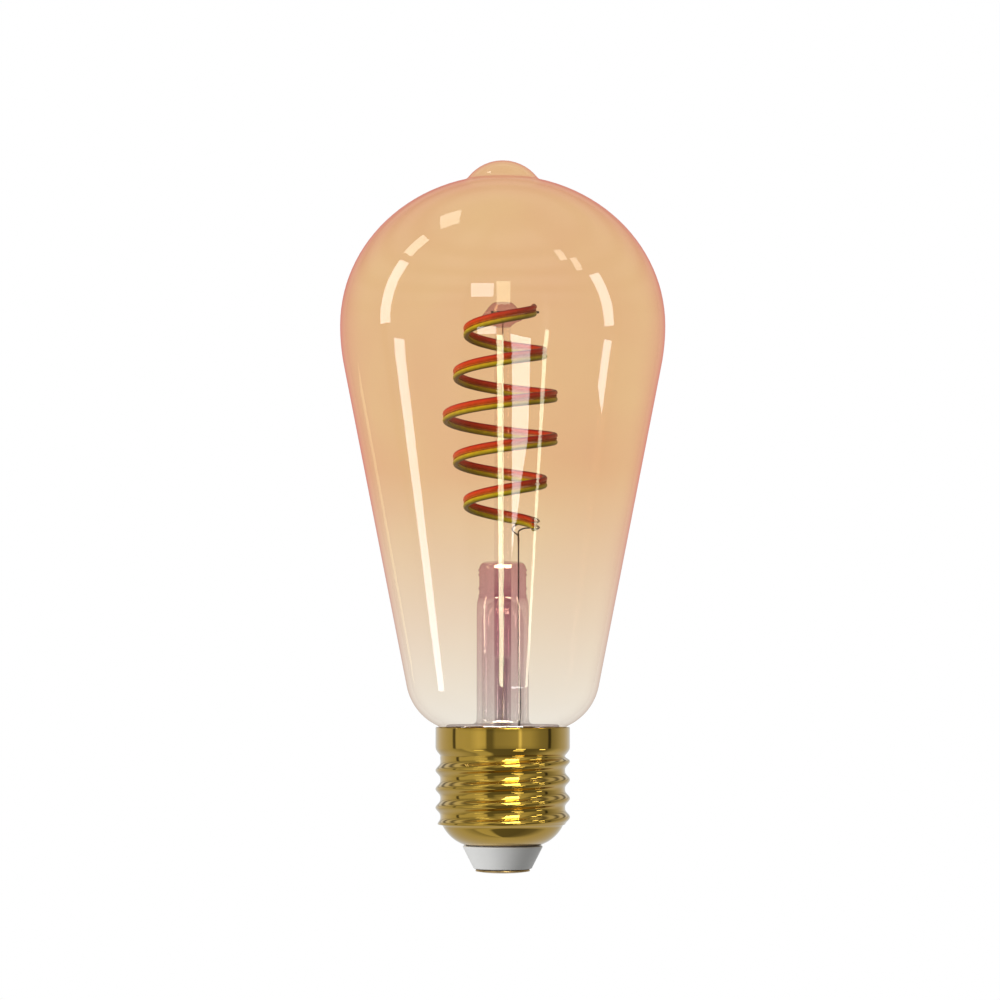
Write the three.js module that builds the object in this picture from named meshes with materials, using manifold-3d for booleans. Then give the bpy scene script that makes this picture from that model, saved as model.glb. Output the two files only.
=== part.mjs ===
// Smart light bulb, filament style, with a 27 mm screw cap. Millimetres, +Z from the cap up to the pip.
// The origin is on the axis, at the flat bottom of the centre contact.
import * as THREE from "three";
import { mergeVertices } from "three/addons/utils/BufferGeometryUtils.js";
import Module from "manifold-3d";

const wasm = await Module();
wasm.setup();

// ---- Driving dimensions ----

// Outside
const overallLength = 140;
const envelopeDiameter = 64;
const capDiameter = 26.3;
const capShellHeight = 23;

// Glass envelope
const glassWall = 1;
const crownHeight = 32.7; // from the widest section up to the top of the pip
const domeHeight = 29.5; // semi-axis of the dome's ellipse, without the pip
const pipRadius = 7.3; // where the pip meets the dome
const pipFillet = 1.1;
const bellyCurveRadius = 41.6; // arc from the widest section into the straight taper
const shoulderCurveRadius = 10.8; // arc from the taper in towards the neck
const shoulderInset = 4.1; // centre of that arc, in from the neck's outside
const neckFillet = 0.8;
const rimToGlass = 0.1; // height of the glass's neck fillet above the cap's rim

// Screw cap
const capWall = 0.25;
const threadPitch = 3.629;
const threadDepth = 0.95;
const threadRunOut = 0.9;
const skirtHeight = 4.2; // plain skirt, from the rim down
const skirtFlare = 1.4; // cone between the skirt and the thread's roots
const bowlHeight = 3.9;
const bowlArcRadius = 7.3; // the bowl's outline is one shallow arc, from the mouth to the thread
const bowlStep = 0.4; // from the thread's roots in to the bowl's upper edge
const capMouthDiameter = 14.4;

// Insulator and centre contact
const insulatorHeight = 4.8;
const insulatorStep = 0.3; // down to the ledge that the shell's mouth is rolled over
const insulatorTopDiameter = 15.6;
const insulatorTipDiameter = 11.6;
const insulatorChamfer = 0.4;
const insulatorPlugDiameter = 13;
const insulatorPlugHeight = 2.6;
const contactDiameter = 10.6;
const contactHeight = 0.7;
const contactFlatDiameter = 3.2;
const contactWall = 0.35;
const eyeletDiameter = 3.4;
const eyeletLength = 3.2;

// Stem
const flareDiameter = 10.2;
const flareWall = 1;
const pressDiameter = 9.2;
const pressAboveRim = 32.4;
const pressHeight = 6.8;
const pressShoulder = 1.6;
const footHeight = 1;
const footBelowRim = 0.5;
const rodDiameter = 3.3;
const rodBelowPress = 12;
const exhaustDiameter = 3.2;
const exhaustBore = 1.8;
const exhaustTipBelowRim = 4.2;
const buttonAboveWire = 1.6;
const buttonHeight = 4.8;
const buttonTopDiameter = 3.9;
const buttonDiameter = 8.3;
const buttonRimBelowTop = 2.8;

// Filament: a double-cone helix of two phosphor cords on one carrier strip
const coilTurns = 5;
const coilPitch = 8.48;
const coilAbovePress = 7.2;
const coilWaistRadius = 11.29;
const coilEndRadius = 6.19;
const coilOverrun = THREE.MathUtils.degToRad(10); // past the last full turn, at each end
const cordDiameter = 1.1;
const carrierThickness = 0.12;
const carrierWidth = 0.9;

// Leads and their terminals
const leadDiameter = 0.3;
const supportWireDiameter = 0.5;
const leadOffset = 3.1; // the two lower leads, from the axis
const leadSpacing = 1.3;
const lineLeadDiameter = 0.8;
const lineLeadEnd = 2.2; // above the contact's face
const neutralLeadDiameter = 0.7;
const terminalWidth = 0.8;
const terminalThickness = 0.2;
const terminalLength = 1.6;

// Electronics in the cap
// (lifts are above the bowl's bottom, rises above the piece's own board's lower edge)
const sleeveWall = 0.7;
const sleeveLift = 4.8;
const sleeveLip = 1.4;
const sleeveBelowNeck = 3;
const driverBoard = { height: 12.6, thickness: 1, lift: 2.8, y: -2.4 };
const radioBoard = { width: 12, height: 15.4, thickness: 0.8, lift: 5.6, y: 4.9 };
const capacitor = { diameter: 5, length: 8.6, x: -4.2, rise: 3.4 };
const inductor = { diameter: 5, length: 6, flange: 0.8, waist: 2.2, x: 3.6, rise: 4.4 };
const resistor = { diameter: 2, length: 6, x: 0.4, rise: 1.7 };
const rectifier = { width: 4, height: 3.4, thickness: 1.3, x: -5.8, rise: 4.2 };
const driverChip = { width: 3.9, height: 3.4, thickness: 1.3, x: 5.4, rise: 4, spacing: 4.6 };
const shield = { width: 8.6, height: 8.6, thickness: 1.9, rise: 6.4 };
const boardLink = { width: 6, height: 1.6, x: -0.6, rise: 0.9 };
const antennaDiameter = 0.6;
const antennaAboveBoard = 0.5;

// Clearances
const seatGap = 0.1; // between glass, metal and plastic that touch
const cutGap = 0.12; // around a wire where it passes through a piece
const cementThickness = 0.6; // between the neck and the skirt, its own two gaps included
const sleeveGap = 0.35; // liner to the shell's thread roots
const boardSideGap = 0.7; // driver board to the liner
const solderGap = 0.1;

// How finely round pieces are divided
const turnSegments = 32;
const domeSteps = 8;
const pieceSegments = 24;
const wireSides = 6;

// ---- Heights and radii that follow from them ----

const insulatorBottom = contactHeight + seatGap;
const insulatorLedge = insulatorBottom + insulatorHeight - insulatorStep;
const capBottom = insulatorLedge + seatGap;
const capRim = capBottom + capShellHeight;
const capInnerRadius = capDiameter / 2 - capWall;
const rootRadius = capDiameter / 2 - threadDepth;
const rootInnerRadius = rootRadius - capWall;
const skirtBottom = capRim - skirtHeight;
const threadTop = skirtBottom - skirtFlare;
const bowlTop = capBottom + bowlHeight;

const bellyHeight = overallLength - crownHeight;
const neckRadius = capInnerRadius - cementThickness;
const neckBottom = skirtBottom + seatGap;

const footBottom = capRim - footBelowRim;
const pressTop = capRim + pressAboveRim;
const pressBottom = pressTop - pressHeight;
const rodBottom = pressBottom - rodBelowPress;
const coilBottom = pressTop + coilAbovePress;
const coilTop = coilBottom + coilPitch * (coilTurns + coilOverrun / (2 * Math.PI));
const supportWireHeight = coilTop - terminalThickness / 2 - seatGap - supportWireDiameter / 2;
const buttonTop = supportWireHeight + buttonAboveWire;
const buttonBottom = buttonTop - buttonHeight;

const sleeveOuter = rootInnerRadius - sleeveGap;
const sleeveInner = sleeveOuter - sleeveWall;
const sleeveBottom = capBottom + sleeveLift;
const sleeveTop = neckBottom - sleeveBelowNeck;

// ---- Geometry helpers ----

function upright(geometry) {
  return geometry.rotateX(Math.PI / 2);
}

// Turns an outline of [radius, height] points about Z. The outline runs anticlockwise, up its outside.
function turned(outline, segments = turnSegments) {
  const points = outline.map(([radius, height]) => new THREE.Vector2(radius, height));
  return upright(new THREE.LatheGeometry(points, segments));
}

function turnedRing(outline, segments = turnSegments) {
  return turned([...outline, outline[0]], segments);
}

// Points on an arc in the radius-height plane, from one angle to another.
function arc(centreRadius, centreHeight, radius, fromAngle, toAngle, steps) {
  return Array.from({ length: steps + 1 }, (_, i) => {
    const angle = THREE.MathUtils.lerp(fromAngle, toAngle, i / steps);
    return [centreRadius + radius * Math.cos(angle), centreHeight + radius * Math.sin(angle)];
  });
}

function solidOf(geometry) {
  const bare = geometry.clone();
  bare.deleteAttribute("normal");
  bare.deleteAttribute("uv");
  const merged = mergeVertices(bare, 1e-4);
  const mesh = new wasm.Mesh({
    numProp: 3,
    vertProperties: merged.attributes.position.array,
    triVerts: new Uint32Array(merged.index.array),
  });
  return new wasm.Manifold(mesh);
}

function geometryOf(solid) {
  const mesh = solid.getMesh();
  const geometry = new THREE.BufferGeometry();
  geometry.setAttribute("position", new THREE.BufferAttribute(mesh.vertProperties, 3));
  geometry.setIndex(new THREE.BufferAttribute(mesh.triVerts, 1));
  geometry.computeVertexNormals();
  return geometry;
}

function cut(geometry, ...tools) {
  return geometryOf(tools.reduce((solid, tool) => solid.subtract(solidOf(tool)), solidOf(geometry)));
}

// A round wire along a smooth curve through the given points.
function wire(points, diameter, steps, sides = wireSides) {
  const section = new THREE.Shape();
  for (let i = 0; i < sides; i++) {
    const angle = (2 * Math.PI * i) / sides;
    const place = [(diameter / 2) * Math.cos(angle), (diameter / 2) * Math.sin(angle)];
    if (i === 0) section.moveTo(...place);
    else section.lineTo(...place);
  }
  section.closePath();
  const route = new THREE.CatmullRomCurve3(points.map((point) => new THREE.Vector3(...point)));
  return new THREE.ExtrudeGeometry(section, { steps, extrudePath: route });
}

function rodAlongZ(diameter, bottom, top, segments = pieceSegments) {
  const geometry = upright(new THREE.CylinderGeometry(diameter / 2, diameter / 2, top - bottom, segments));
  return geometry.translate(0, 0, (bottom + top) / 2);
}

// ---- Materials ----

function finish(color, roughness, metalness = 0, opacity = 1) {
  return new THREE.MeshStandardMaterial({ color, roughness, metalness, opacity, transparent: opacity < 1 });
}

const finishes = {
  amberGlass: finish(0xe3b27c, 0.04, 0, 0.35),
  clearGlass: finish(0xcfc6c4, 0.06, 0, 0.5),
  warmPhosphor: finish(0xe2502a, 0.6),
  coolPhosphor: finish(0xb4c428, 0.6),
  carrier: finish(0x5c3320, 0.5),
  lead: finish(0x8f8a86, 0.35, 1),
  goldShell: finish(0xc7a233, 0.16, 1),
  brass: finish(0xc39a45, 0.3, 1),
  whiteInsulator: finish(0xe2e0dc, 0.45),
  cement: finish(0xb9b1a2, 0.9),
  sleevePlastic: finish(0xe9e7e0, 0.5),
  boardGreen: finish(0x1f5c38, 0.45),
  boardBlack: finish(0x22252a, 0.4),
  chipBlack: finish(0x1b1b1d, 0.5),
  canSteel: finish(0xb8babd, 0.3, 1),
  capacitorSleeve: finish(0x2b3038, 0.35),
  ferrite: finish(0x3a3b3d, 0.7),
  copper: finish(0xb8672e, 0.35, 1),
  resistorBody: finish(0x6f9a8f, 0.5),
  solder: finish(0xb9bbc0, 0.3, 1),
  redWire: finish(0xa8221c, 0.5),
  blueWire: finish(0x2b4aa0, 0.5),
};

// ---- Envelope ----

// The glass outline at a depth below the outside: pip, dome, belly arc, straight taper, shoulder arc and
// neck. The two arcs and the neck's fillet keep their centres, so the taper stays tangent to both arcs.
function glassOutline(depth) {
  const equator = envelopeDiameter / 2 - depth;
  const dome = domeHeight - depth;
  const domeAt = (radius) => bellyHeight + dome * Math.sqrt(1 - (radius / equator) ** 2);

  const pipBase = pipRadius - depth / 2;
  const pipRise = overallLength - depth - domeAt(pipBase);
  const pipSphere = (pipBase ** 2 + pipRise ** 2) / (2 * pipRise);
  const pipCentre = overallLength - depth - pipSphere;
  const pipAt = (radius) => pipCentre + Math.sqrt(pipSphere ** 2 - radius ** 2);

  const neck = neckRadius - depth;
  const fillet = neckFillet + depth;
  const shoulder = shoulderCurveRadius - depth;
  const filletCentre = new THREE.Vector2(neckRadius + neckFillet, capRim + rimToGlass - neckFillet * 0.7);
  const across = shoulderInset + neckFillet;
  const shoulderCentre = new THREE.Vector2(
    neckRadius - shoulderInset,
    filletCentre.y + Math.sqrt((shoulder + fillet) ** 2 - across ** 2),
  );
  const belly = bellyCurveRadius - depth;
  const bellyCentre = new THREE.Vector2(equator - belly, bellyHeight);
  const between = bellyCentre.clone().sub(shoulderCentre);
  const lean = Math.atan2(-between.x, between.y);
  const taper = Math.asin((belly - shoulder) / between.length()) - lean;
  const meet = Math.atan2(filletCentre.y - shoulderCentre.y, filletCentre.x - shoulderCentre.x);

  const pipEdge = pipBase - 0.5 * pipFillet;
  const domeEdge = pipBase + pipFillet;
  const blend = new THREE.QuadraticBezierCurve(
    new THREE.Vector2(domeEdge, domeAt(domeEdge)),
    new THREE.Vector2(pipBase, domeAt(pipBase)),
    new THREE.Vector2(pipEdge, pipAt(pipEdge)),
  );
  const domeStart = Math.acos(domeEdge / equator);

  const outline = [[neck, neckBottom]];
  outline.push(...arc(filletCentre.x, filletCentre.y, fillet, Math.PI, meet + Math.PI, 2));
  outline.push(...arc(shoulderCentre.x, shoulderCentre.y, shoulder, meet, -taper, 4).slice(1));
  outline.push(...arc(bellyCentre.x, bellyCentre.y, belly, -taper, 0, 3));
  for (let i = 1; i <= domeSteps; i++) {
    const angle = (domeStart * i) / domeSteps;
    outline.push([equator * Math.cos(angle), bellyHeight + dome * Math.sin(angle)]);
  }
  outline.push(...blend.getPoints(2).slice(1).map((point) => [point.x, point.y]));
  for (const share of [0.8, 0.5, 0.2]) outline.push([pipEdge * share, pipAt(pipEdge * share)]);
  outline.push([0, overallLength - depth]);
  return outline;
}

function envelopeGeometry() {
  const outside = glassOutline(0);
  const inside = glassOutline(glassWall).reverse();
  return turned([...inside, ...outside]);
}

// ---- Screw cap ----

// How far the rolled thread stands out, from 0 to 1, at an angle and height. It rises anticlockwise, so it
// is right-handed, and it fades out at both ends.
function threadForm(angle, height) {
  const { smoothstep } = THREE.MathUtils;
  const wave = 0.5 + 0.5 * Math.cos(2 * Math.PI * (height / threadPitch - angle / (2 * Math.PI)));
  const fadeIn = smoothstep(height, bowlTop - threadRunOut, bowlTop + threadRunOut);
  const fadeOut = 1 - smoothstep(height, threadTop - threadRunOut, threadTop);
  return wave * fadeIn * fadeOut;
}

// The centre of the bowl's arc, as its distance from the axis and its height.
function bowlCentre() {
  const mouth = new THREE.Vector2(capMouthDiameter / 2, capBottom);
  const upper = new THREE.Vector2(rootRadius - bowlStep, bowlTop);
  const chord = upper.clone().sub(mouth);
  const away = Math.sqrt(bowlArcRadius ** 2 - chord.lengthSq() / 4);
  const across = new THREE.Vector2(-chord.y, chord.x).setLength(away);
  return mouth.add(upper).multiplyScalar(0.5).add(across);
}

function capShellGeometry() {
  const skirt = capDiameter / 2;
  const threadRows = 18;
  const centre = bowlCentre();
  const mouthAngle = Math.atan2(capBottom - centre.y, capMouthDiameter / 2 - centre.x);
  const side = (inset) => {
    const reach = bowlArcRadius - inset;
    const upperAngle = -Math.asin((centre.y - bowlTop) / reach);
    const bowl = arc(centre.x, centre.y, reach, mouthAngle, upperAngle, 4);
    const rows = Array.from({ length: threadRows }, (_, i) => {
      const height = THREE.MathUtils.lerp(bowlTop, threadTop, (i + 1) / threadRows);
      return [rootRadius - inset, height];
    });
    return [
      ...bowl,
      ...rows,
      [skirt - inset, skirtBottom],
      [skirt - inset, capRim],
    ];
  };
  const geometry = turnedRing([...side(0), ...side(capWall).reverse()]);
  const place = geometry.attributes.position;
  for (let i = 0; i < place.count; i++) {
    const [x, y, z] = [place.getX(i), place.getY(i), place.getZ(i)];
    if (z <= bowlTop + 0.01 || z >= threadTop) continue;
    const radius = Math.hypot(x, y);
    const scale = (radius + threadDepth * threadForm(Math.atan2(y, x), z)) / radius;
    place.setXY(i, x * scale, y * scale);
  }
  return geometry;
}

function cementGeometry() {
  const outer = capInnerRadius - seatGap;
  const inner = neckRadius + seatGap;
  const top = capRim - neckFillet - 0.3;
  const bottom = skirtBottom + 0.4;
  return turnedRing([[inner, bottom], [outer, bottom], [outer, top], [inner, top]]);
}

// ---- Insulator and contact ----

function insulatorGeometry() {
  const top = insulatorBottom + insulatorHeight;
  const bore = eyeletDiameter / 2 + seatGap;
  const tip = insulatorTipDiameter / 2;
  return turnedRing([
    [bore, insulatorBottom],
    [tip - insulatorChamfer, insulatorBottom],
    [tip, insulatorBottom + insulatorChamfer],
    [insulatorTopDiameter / 2, insulatorLedge - 0.2],
    [insulatorTopDiameter / 2 - 0.2, insulatorLedge],
    [insulatorPlugDiameter / 2, insulatorLedge],
    [insulatorPlugDiameter / 2, top + insulatorPlugHeight],
    [bore, top + insulatorPlugHeight],
  ]);
}

function contactGeometry() {
  const flat = contactFlatDiameter / 2;
  const edge = contactDiameter / 2;
  const eyelet = eyeletDiameter / 2;
  const dome = (radius) => (contactHeight - contactWall) * ((radius - flat) / (edge - flat)) ** 2;
  const steps = 5;
  const underside = Array.from({ length: steps + 1 }, (_, i) => {
    const radius = THREE.MathUtils.lerp(flat, edge, i / steps);
    return [radius, dome(radius)];
  });
  return turned([
    [0, 0],
    ...underside,
    [edge, contactHeight],
    [eyelet, contactHeight],
    [eyelet, contactHeight + eyeletLength],
    [eyelet - contactWall, contactHeight + eyeletLength],
    [eyelet - contactWall, contactWall],
    [0, contactWall],
  ], pieceSegments);
}

// ---- Stem ----

const lowerLeads = [
  { name: "warm_lead", y: -0.2 + leadSpacing, side: 1, footX: leadOffset - 1.3, crossing: 72 },
  { name: "cool_lead", y: -0.2, side: -1, footX: leadOffset - 0.4, crossing: 54 },
];
const commonLeadY = rodDiameter / 2 + leadDiameter / 2 + 0.35;

function passage(x, y, diameter, bottom, top) {
  return rodAlongZ(diameter + 2 * cutGap, bottom, top, 12).translate(x, y, 0);
}

function stemFlareGeometry() {
  const tube = flareDiameter / 2;
  const bore = tube - flareWall;
  const press = pressDiameter / 2;
  const foot = neckRadius - glassWall - 2 * seatGap;
  const footTop = footBottom + footHeight;
  const body = turned([
    [0, pressBottom - 0.6],
    [bore * 0.6, pressBottom - 1.2],
    [bore, pressBottom - 4],
    [bore, footTop],
    [bore, footBottom],
    [foot, footBottom],
    [foot, footTop],
    [tube + 0.8, footTop + 0.2],
    [tube, footTop + 1],
    [tube, pressBottom - 1],
    [press, pressBottom],
    [press, pressTop - pressShoulder],
    [press - pressShoulder * 0.3, pressTop - pressShoulder * 0.3],
    [press - pressShoulder, pressTop],
    [0, pressTop],
  ], pieceSegments);
  const low = pressBottom - 6;
  const high = pressTop + 2;
  return cut(
    body,
    passage(0, 0, rodDiameter, low, high),
    passage(0, commonLeadY, leadDiameter, low, high),
    ...lowerLeads.map((lead) => passage(leadOffset, lead.y, leadDiameter, low, high)),
  );
}

const terminalTurn = coilOverrun + 0.35 * terminalLength / coilEndRadius;
const supportWireY = coilEndRadius * Math.sin(coilOverrun) + 0.6 * terminalLength;

function supportWireGeometry() {
  const out = coilEndRadius * Math.cos(coilOverrun) + terminalWidth / 2 + 0.7;
  const inButton = -0.55 * (buttonDiameter / 2);
  return wire(
    [[inButton, supportWireY, supportWireHeight], [out, supportWireY, supportWireHeight]],
    supportWireDiameter,
    1,
    8,
  );
}

function buttonGeometry() {
  const rim = buttonDiameter / 2;
  const rimHeight = buttonTop - buttonRimBelowTop;
  const body = turned([
    [0, buttonBottom + seatGap],
    [rodDiameter / 2, buttonBottom + seatGap],
    [rim * 0.6, rimHeight - 1.1],
    [rim * 0.93, rimHeight - 0.5],
    [rim, rimHeight],
    [rim * 0.88, rimHeight + 0.6],
    [buttonTopDiameter / 2 + 0.2, buttonTop - 0.3],
    [buttonTopDiameter / 2 - 0.1, buttonTop],
    [0, buttonTop],
  ], pieceSegments);
  const slot = wire(
    [
      [-0.55 * rim - cutGap, supportWireY, supportWireHeight],
      [rim + 1, supportWireY, supportWireHeight],
    ],
    supportWireDiameter + 2 * cutGap,
    1,
    8,
  );
  return cut(body, slot, passage(0, commonLeadY, leadDiameter, buttonBottom - 1, supportWireHeight));
}

function exhaustGeometry() {
  const outer = exhaustDiameter / 2;
  const bore = exhaustBore / 2;
  const top = rodBottom - seatGap;
  const tip = capRim - exhaustTipBelowRim;
  return turned([
    [0, tip],
    [outer * 0.5, tip + 0.25],
    [outer, tip + 1.6],
    [outer, top],
    [bore, top],
    [bore, tip + 2.4],
    [0, tip + 1.8],
  ], 16);
}

// ---- Filament ----

function coilRadius(angle) {
  const slope = (coilWaistRadius - coilEndRadius) / (coilTurns / 2);
  return coilWaistRadius - slope * Math.abs(angle / (2 * Math.PI) - coilTurns / 2);
}

function coilHeight(angle) {
  return coilBottom + (coilPitch * angle) / (2 * Math.PI);
}

const coilSpan = 2 * Math.PI * coilTurns + 2 * coilOverrun;
const coilLength = coilSpan * coilEndRadius;

// Winds a straight piece, which lies along X and is centred on it, into the coil. X becomes the turning
// angle, Y points in towards the axis and Z stays up.
function wound(geometry, lift) {
  const place = geometry.attributes.position;
  for (let i = 0; i < place.count; i++) {
    const angle = (place.getX(i) / coilLength + 0.5) * coilSpan - coilOverrun;
    const radius = coilRadius(angle) - place.getY(i);
    const height = coilHeight(angle) + place.getZ(i) + lift;
    place.setXYZ(i, radius * Math.cos(angle), radius * Math.sin(angle), height);
  }
  return geometry;
}

const coilSteps = 80;
const cordLift = carrierThickness / 2 + 0.04 + cordDiameter / 2;

function cordGeometry(lift) {
  const radius = cordDiameter / 2;
  const straight = new THREE.CapsuleGeometry(radius, coilLength - 2 * radius, 2, 8, coilSteps);
  return wound(straight.rotateZ(-Math.PI / 2), lift);
}

function carrierGeometry() {
  return wound(new THREE.BoxGeometry(coilLength, carrierWidth, carrierThickness, coilSteps, 1, 1), 0);
}

// A metal tab that carries on from an end of the filament, along its tangent.
function terminalMesh(name, atTop, lift) {
  const turn = atTop ? terminalTurn : -terminalTurn;
  const heightTurn = atTop ? coilTurns + coilOverrun / (2 * Math.PI) : -coilOverrun / (2 * Math.PI);
  const reach = coilEndRadius * Math.sin(coilOverrun) + seatGap + terminalLength / 2;
  const tab = new THREE.Mesh(
    new THREE.BoxGeometry(terminalWidth, terminalLength, terminalThickness),
    finishes.lead,
  );
  tab.name = name;
  tab.position.set(
    coilEndRadius * Math.cos(turn),
    atTop ? reach : -reach,
    coilBottom + coilPitch * heightTurn + lift,
  );
  return tab;
}

// ---- Leads ----

const driverBottom = capBottom + driverBoard.lift;
const driverTop = driverBottom + driverBoard.height;
const radioBottom = capBottom + radioBoard.lift;
const radioTop = radioBottom + radioBoard.height;
const boardBack = driverBoard.y + driverBoard.thickness / 2;
const boardFront = driverBoard.y - driverBoard.thickness / 2;
const driverWidth = 2 * (Math.sqrt(sleeveInner ** 2 - boardFront ** 2) - boardSideGap);
const leadFoot = driverTop - 2.4;

// A place beside the coil: degrees round it, radially out from the strand's middle, up from it.
function nearCoil(degrees, out, lift) {
  const angle = THREE.MathUtils.degToRad(degrees);
  const radius = coilRadius(angle) + out;
  return [radius * Math.cos(angle), radius * Math.sin(angle), coilHeight(angle) + lift];
}

// A lower lead comes up out of the press, passes under the coil's first turn at its crossing angle and
// follows its own cord round the outside, back to the terminal.
function lowerLeadGeometry(lead) {
  const start = boardBack + seatGap + leadDiameter / 2;
  const lift = lead.side * cordLift;
  const under = -cordLift - cordDiameter / 2 - 0.65;
  const outside = cordDiameter / 2 + leadDiameter / 2 + 0.3;
  const tabX = coilEndRadius * Math.cos(terminalTurn) + terminalWidth / 2 + solderGap + leadDiameter / 2;
  const tabStart = -(coilEndRadius * Math.sin(coilOverrun) + seatGap);
  const tabZ = coilHeight(-coilOverrun) + lift;
  return wire(
    [
      [lead.footX, start, leadFoot],
      [lead.footX, THREE.MathUtils.lerp(start, lead.y, 0.3), driverTop + 1.6],
      [leadOffset, lead.y, footBottom - 1],
      [leadOffset, lead.y, pressBottom - 10],
      [leadOffset, lead.y, pressBottom - 2],
      [leadOffset, lead.y, pressTop + 0.6],
      [leadOffset, lead.y, coilBottom - 4.2],
      [leadOffset, lead.y + 0.35 * coilEndRadius, coilBottom - 2.2],
      nearCoil(lead.crossing, 0, under),
      nearCoil(lead.crossing - 14, outside + 0.1, (under + lift) / 2),
      nearCoil(lead.crossing - 30, outside, lift),
      nearCoil(8, outside, lift),
      [tabX + 0.12, tabStart - 0.1, tabZ],
      [tabX, tabStart - 0.85 * terminalLength, tabZ],
    ],
    leadDiameter,
    64,
  );
}

function commonLeadGeometry() {
  const start = boardBack + seatGap + leadDiameter / 2;
  const top = supportWireHeight - supportWireDiameter / 2 - solderGap - leadDiameter;
  return wire(
    [
      [-2.2, start, leadFoot],
      [-2.2, THREE.MathUtils.lerp(start, commonLeadY, 0.6), driverTop + 1.6],
      [-0.4, commonLeadY, footBottom - 0.4],
      [0, commonLeadY, rodBottom - 8],
      [0, commonLeadY, rodBottom - 1],
      [0, commonLeadY, pressTop],
      [0, commonLeadY, top],
    ],
    leadDiameter,
    40,
  );
}

// ---- Electronics ----

function sleeveGeometry() {
  const lip = sleeveInner - sleeveLip;
  return turnedRing([
    [lip, sleeveBottom],
    [sleeveOuter, sleeveBottom],
    [sleeveOuter, sleeveTop],
    [sleeveInner, sleeveTop],
    [sleeveInner, sleeveBottom + sleeveWall],
    [lip, sleeveBottom + sleeveWall],
  ]);
}

function boardGeometry(board, width, bottom) {
  const outline = new THREE.Shape();
  const half = width / 2;
  outline.moveTo(-half, 0);
  outline.lineTo(half, 0);
  outline.lineTo(half, board.height - 1);
  outline.lineTo(half - 1, board.height);
  outline.lineTo(1 - half, board.height);
  outline.lineTo(-half, board.height - 1);
  outline.closePath();
  const slab = new THREE.ExtrudeGeometry(outline, { depth: board.thickness, bevelEnabled: false });
  return upright(slab).translate(0, board.y + board.thickness / 2, bottom);
}

// The driver board's lower corners are notched, so it sits on the liner's lip and reaches into the bowl.
function driverBoardGeometry() {
  const tongue = 2 * (Math.sqrt((sleeveInner - sleeveLip) ** 2 - boardFront ** 2) - boardSideGap);
  const notch = (side) => {
    const width = (driverWidth - tongue) / 2 + 1;
    const height = sleeveBottom + sleeveWall + seatGap - driverBottom + 1;
    const box = new THREE.BoxGeometry(width, 3 * driverBoard.thickness, height);
    return box.translate(side * (tongue / 2 + width / 2), driverBoard.y, driverBottom - 1 + height / 2);
  };
  return cut(boardGeometry(driverBoard, driverWidth, driverBottom), notch(-1), notch(1));
}

// A flat package on the back of a board.
function blockOn(surfaceY, part, x, z) {
  const box = new THREE.BoxGeometry(part.width, part.thickness, part.height);
  return box.translate(x, surfaceY + seatGap + part.thickness / 2, z);
}

function capacitorGeometry() {
  const radius = capacitor.diameter / 2;
  const top = capacitor.length;
  const can = turned([
    [0, 0],
    [radius, 0],
    [radius, 0.9],
    [radius - 0.25, 1.2],
    [radius, 1.5],
    [radius, top - 0.3],
    [radius - 0.3, top],
    [0, top],
  ], 20);
  return can.translate(capacitor.x, boardFront - seatGap - radius, driverBottom + capacitor.rise);
}

function inductorPlace(geometry) {
  const y = boardFront - seatGap - inductor.diameter / 2;
  return geometry.translate(inductor.x, y, driverBottom + inductor.rise);
}

function inductorCoreGeometry() {
  const flange = inductor.diameter / 2;
  const waist = inductor.waist / 2;
  const top = inductor.length;
  return inductorPlace(turned([
    [0, 0],
    [flange, 0],
    [flange, inductor.flange],
    [waist, inductor.flange],
    [waist, top - inductor.flange],
    [flange, top - inductor.flange],
    [flange, top],
    [0, top],
  ], 20));
}

function inductorWindingGeometry() {
  const inner = inductor.waist / 2 + seatGap;
  const outer = inductor.diameter / 2 - 0.3;
  const bottom = inductor.flange + seatGap;
  const top = inductor.length - inductor.flange - seatGap;
  return inductorPlace(turnedRing([[inner, bottom], [outer, bottom], [outer, top], [inner, top]], 20));
}

function resistorGeometry() {
  const body = new THREE.CapsuleGeometry(resistor.diameter / 2, resistor.length - resistor.diameter, 3, 12);
  body.rotateZ(Math.PI / 2);
  const y = boardFront - seatGap - resistor.diameter / 2;
  return body.translate(resistor.x, y, driverBottom + resistor.rise);
}

const radioFront = radioBoard.y - radioBoard.thickness / 2;
const radioBack = radioBoard.y + radioBoard.thickness / 2;

function boardLinkGeometry() {
  const length = radioFront - boardBack - 2 * seatGap;
  const bar = new THREE.BoxGeometry(boardLink.width, length, boardLink.height);
  return bar.translate(boardLink.x, (radioFront + boardBack) / 2, radioBottom + boardLink.rise);
}

function antennaGeometry() {
  const y = radioBack + seatGap + antennaDiameter / 2;
  const side = radioBoard.width / 2 - 1.2;
  const foot = radioBottom + shield.rise + shield.height / 2 + 0.7;
  const antennaTop = radioTop + antennaAboveBoard;
  return wire(
    [[-side, y, foot], [-side, y, antennaTop - 1.6], [1.6 - side, y, antennaTop], [side, y, antennaTop]],
    antennaDiameter,
    18,
  );
}

function lineLeadGeometry() {
  const start = boardBack + seatGap + lineLeadDiameter / 2;
  const low = driverBottom;
  const eyeletTop = contactHeight + eyeletLength;
  return wire(
    [[0, start, low + 2], [0, start, low + 0.4], [0, start / 2, low - 1.6], [0, 0, eyeletTop], [0, 0, lineLeadEnd]],
    lineLeadDiameter,
    12,
  );
}

function contactSolderGeometry() {
  const radius = eyeletDiameter / 2 - contactWall - solderGap;
  const bottom = contactWall + solderGap;
  const top = lineLeadEnd - solderGap;
  return turned([[0, bottom], [radius, bottom], [radius, top - 0.3], [radius * 0.5, top], [0, top]], 16);
}

const neutralHeight = threadTop - neutralLeadDiameter / 2;
const neutralBead = 0.55;
const neutralEnd = rootInnerRadius - seatGap - 2 * neutralBead - solderGap;

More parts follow.
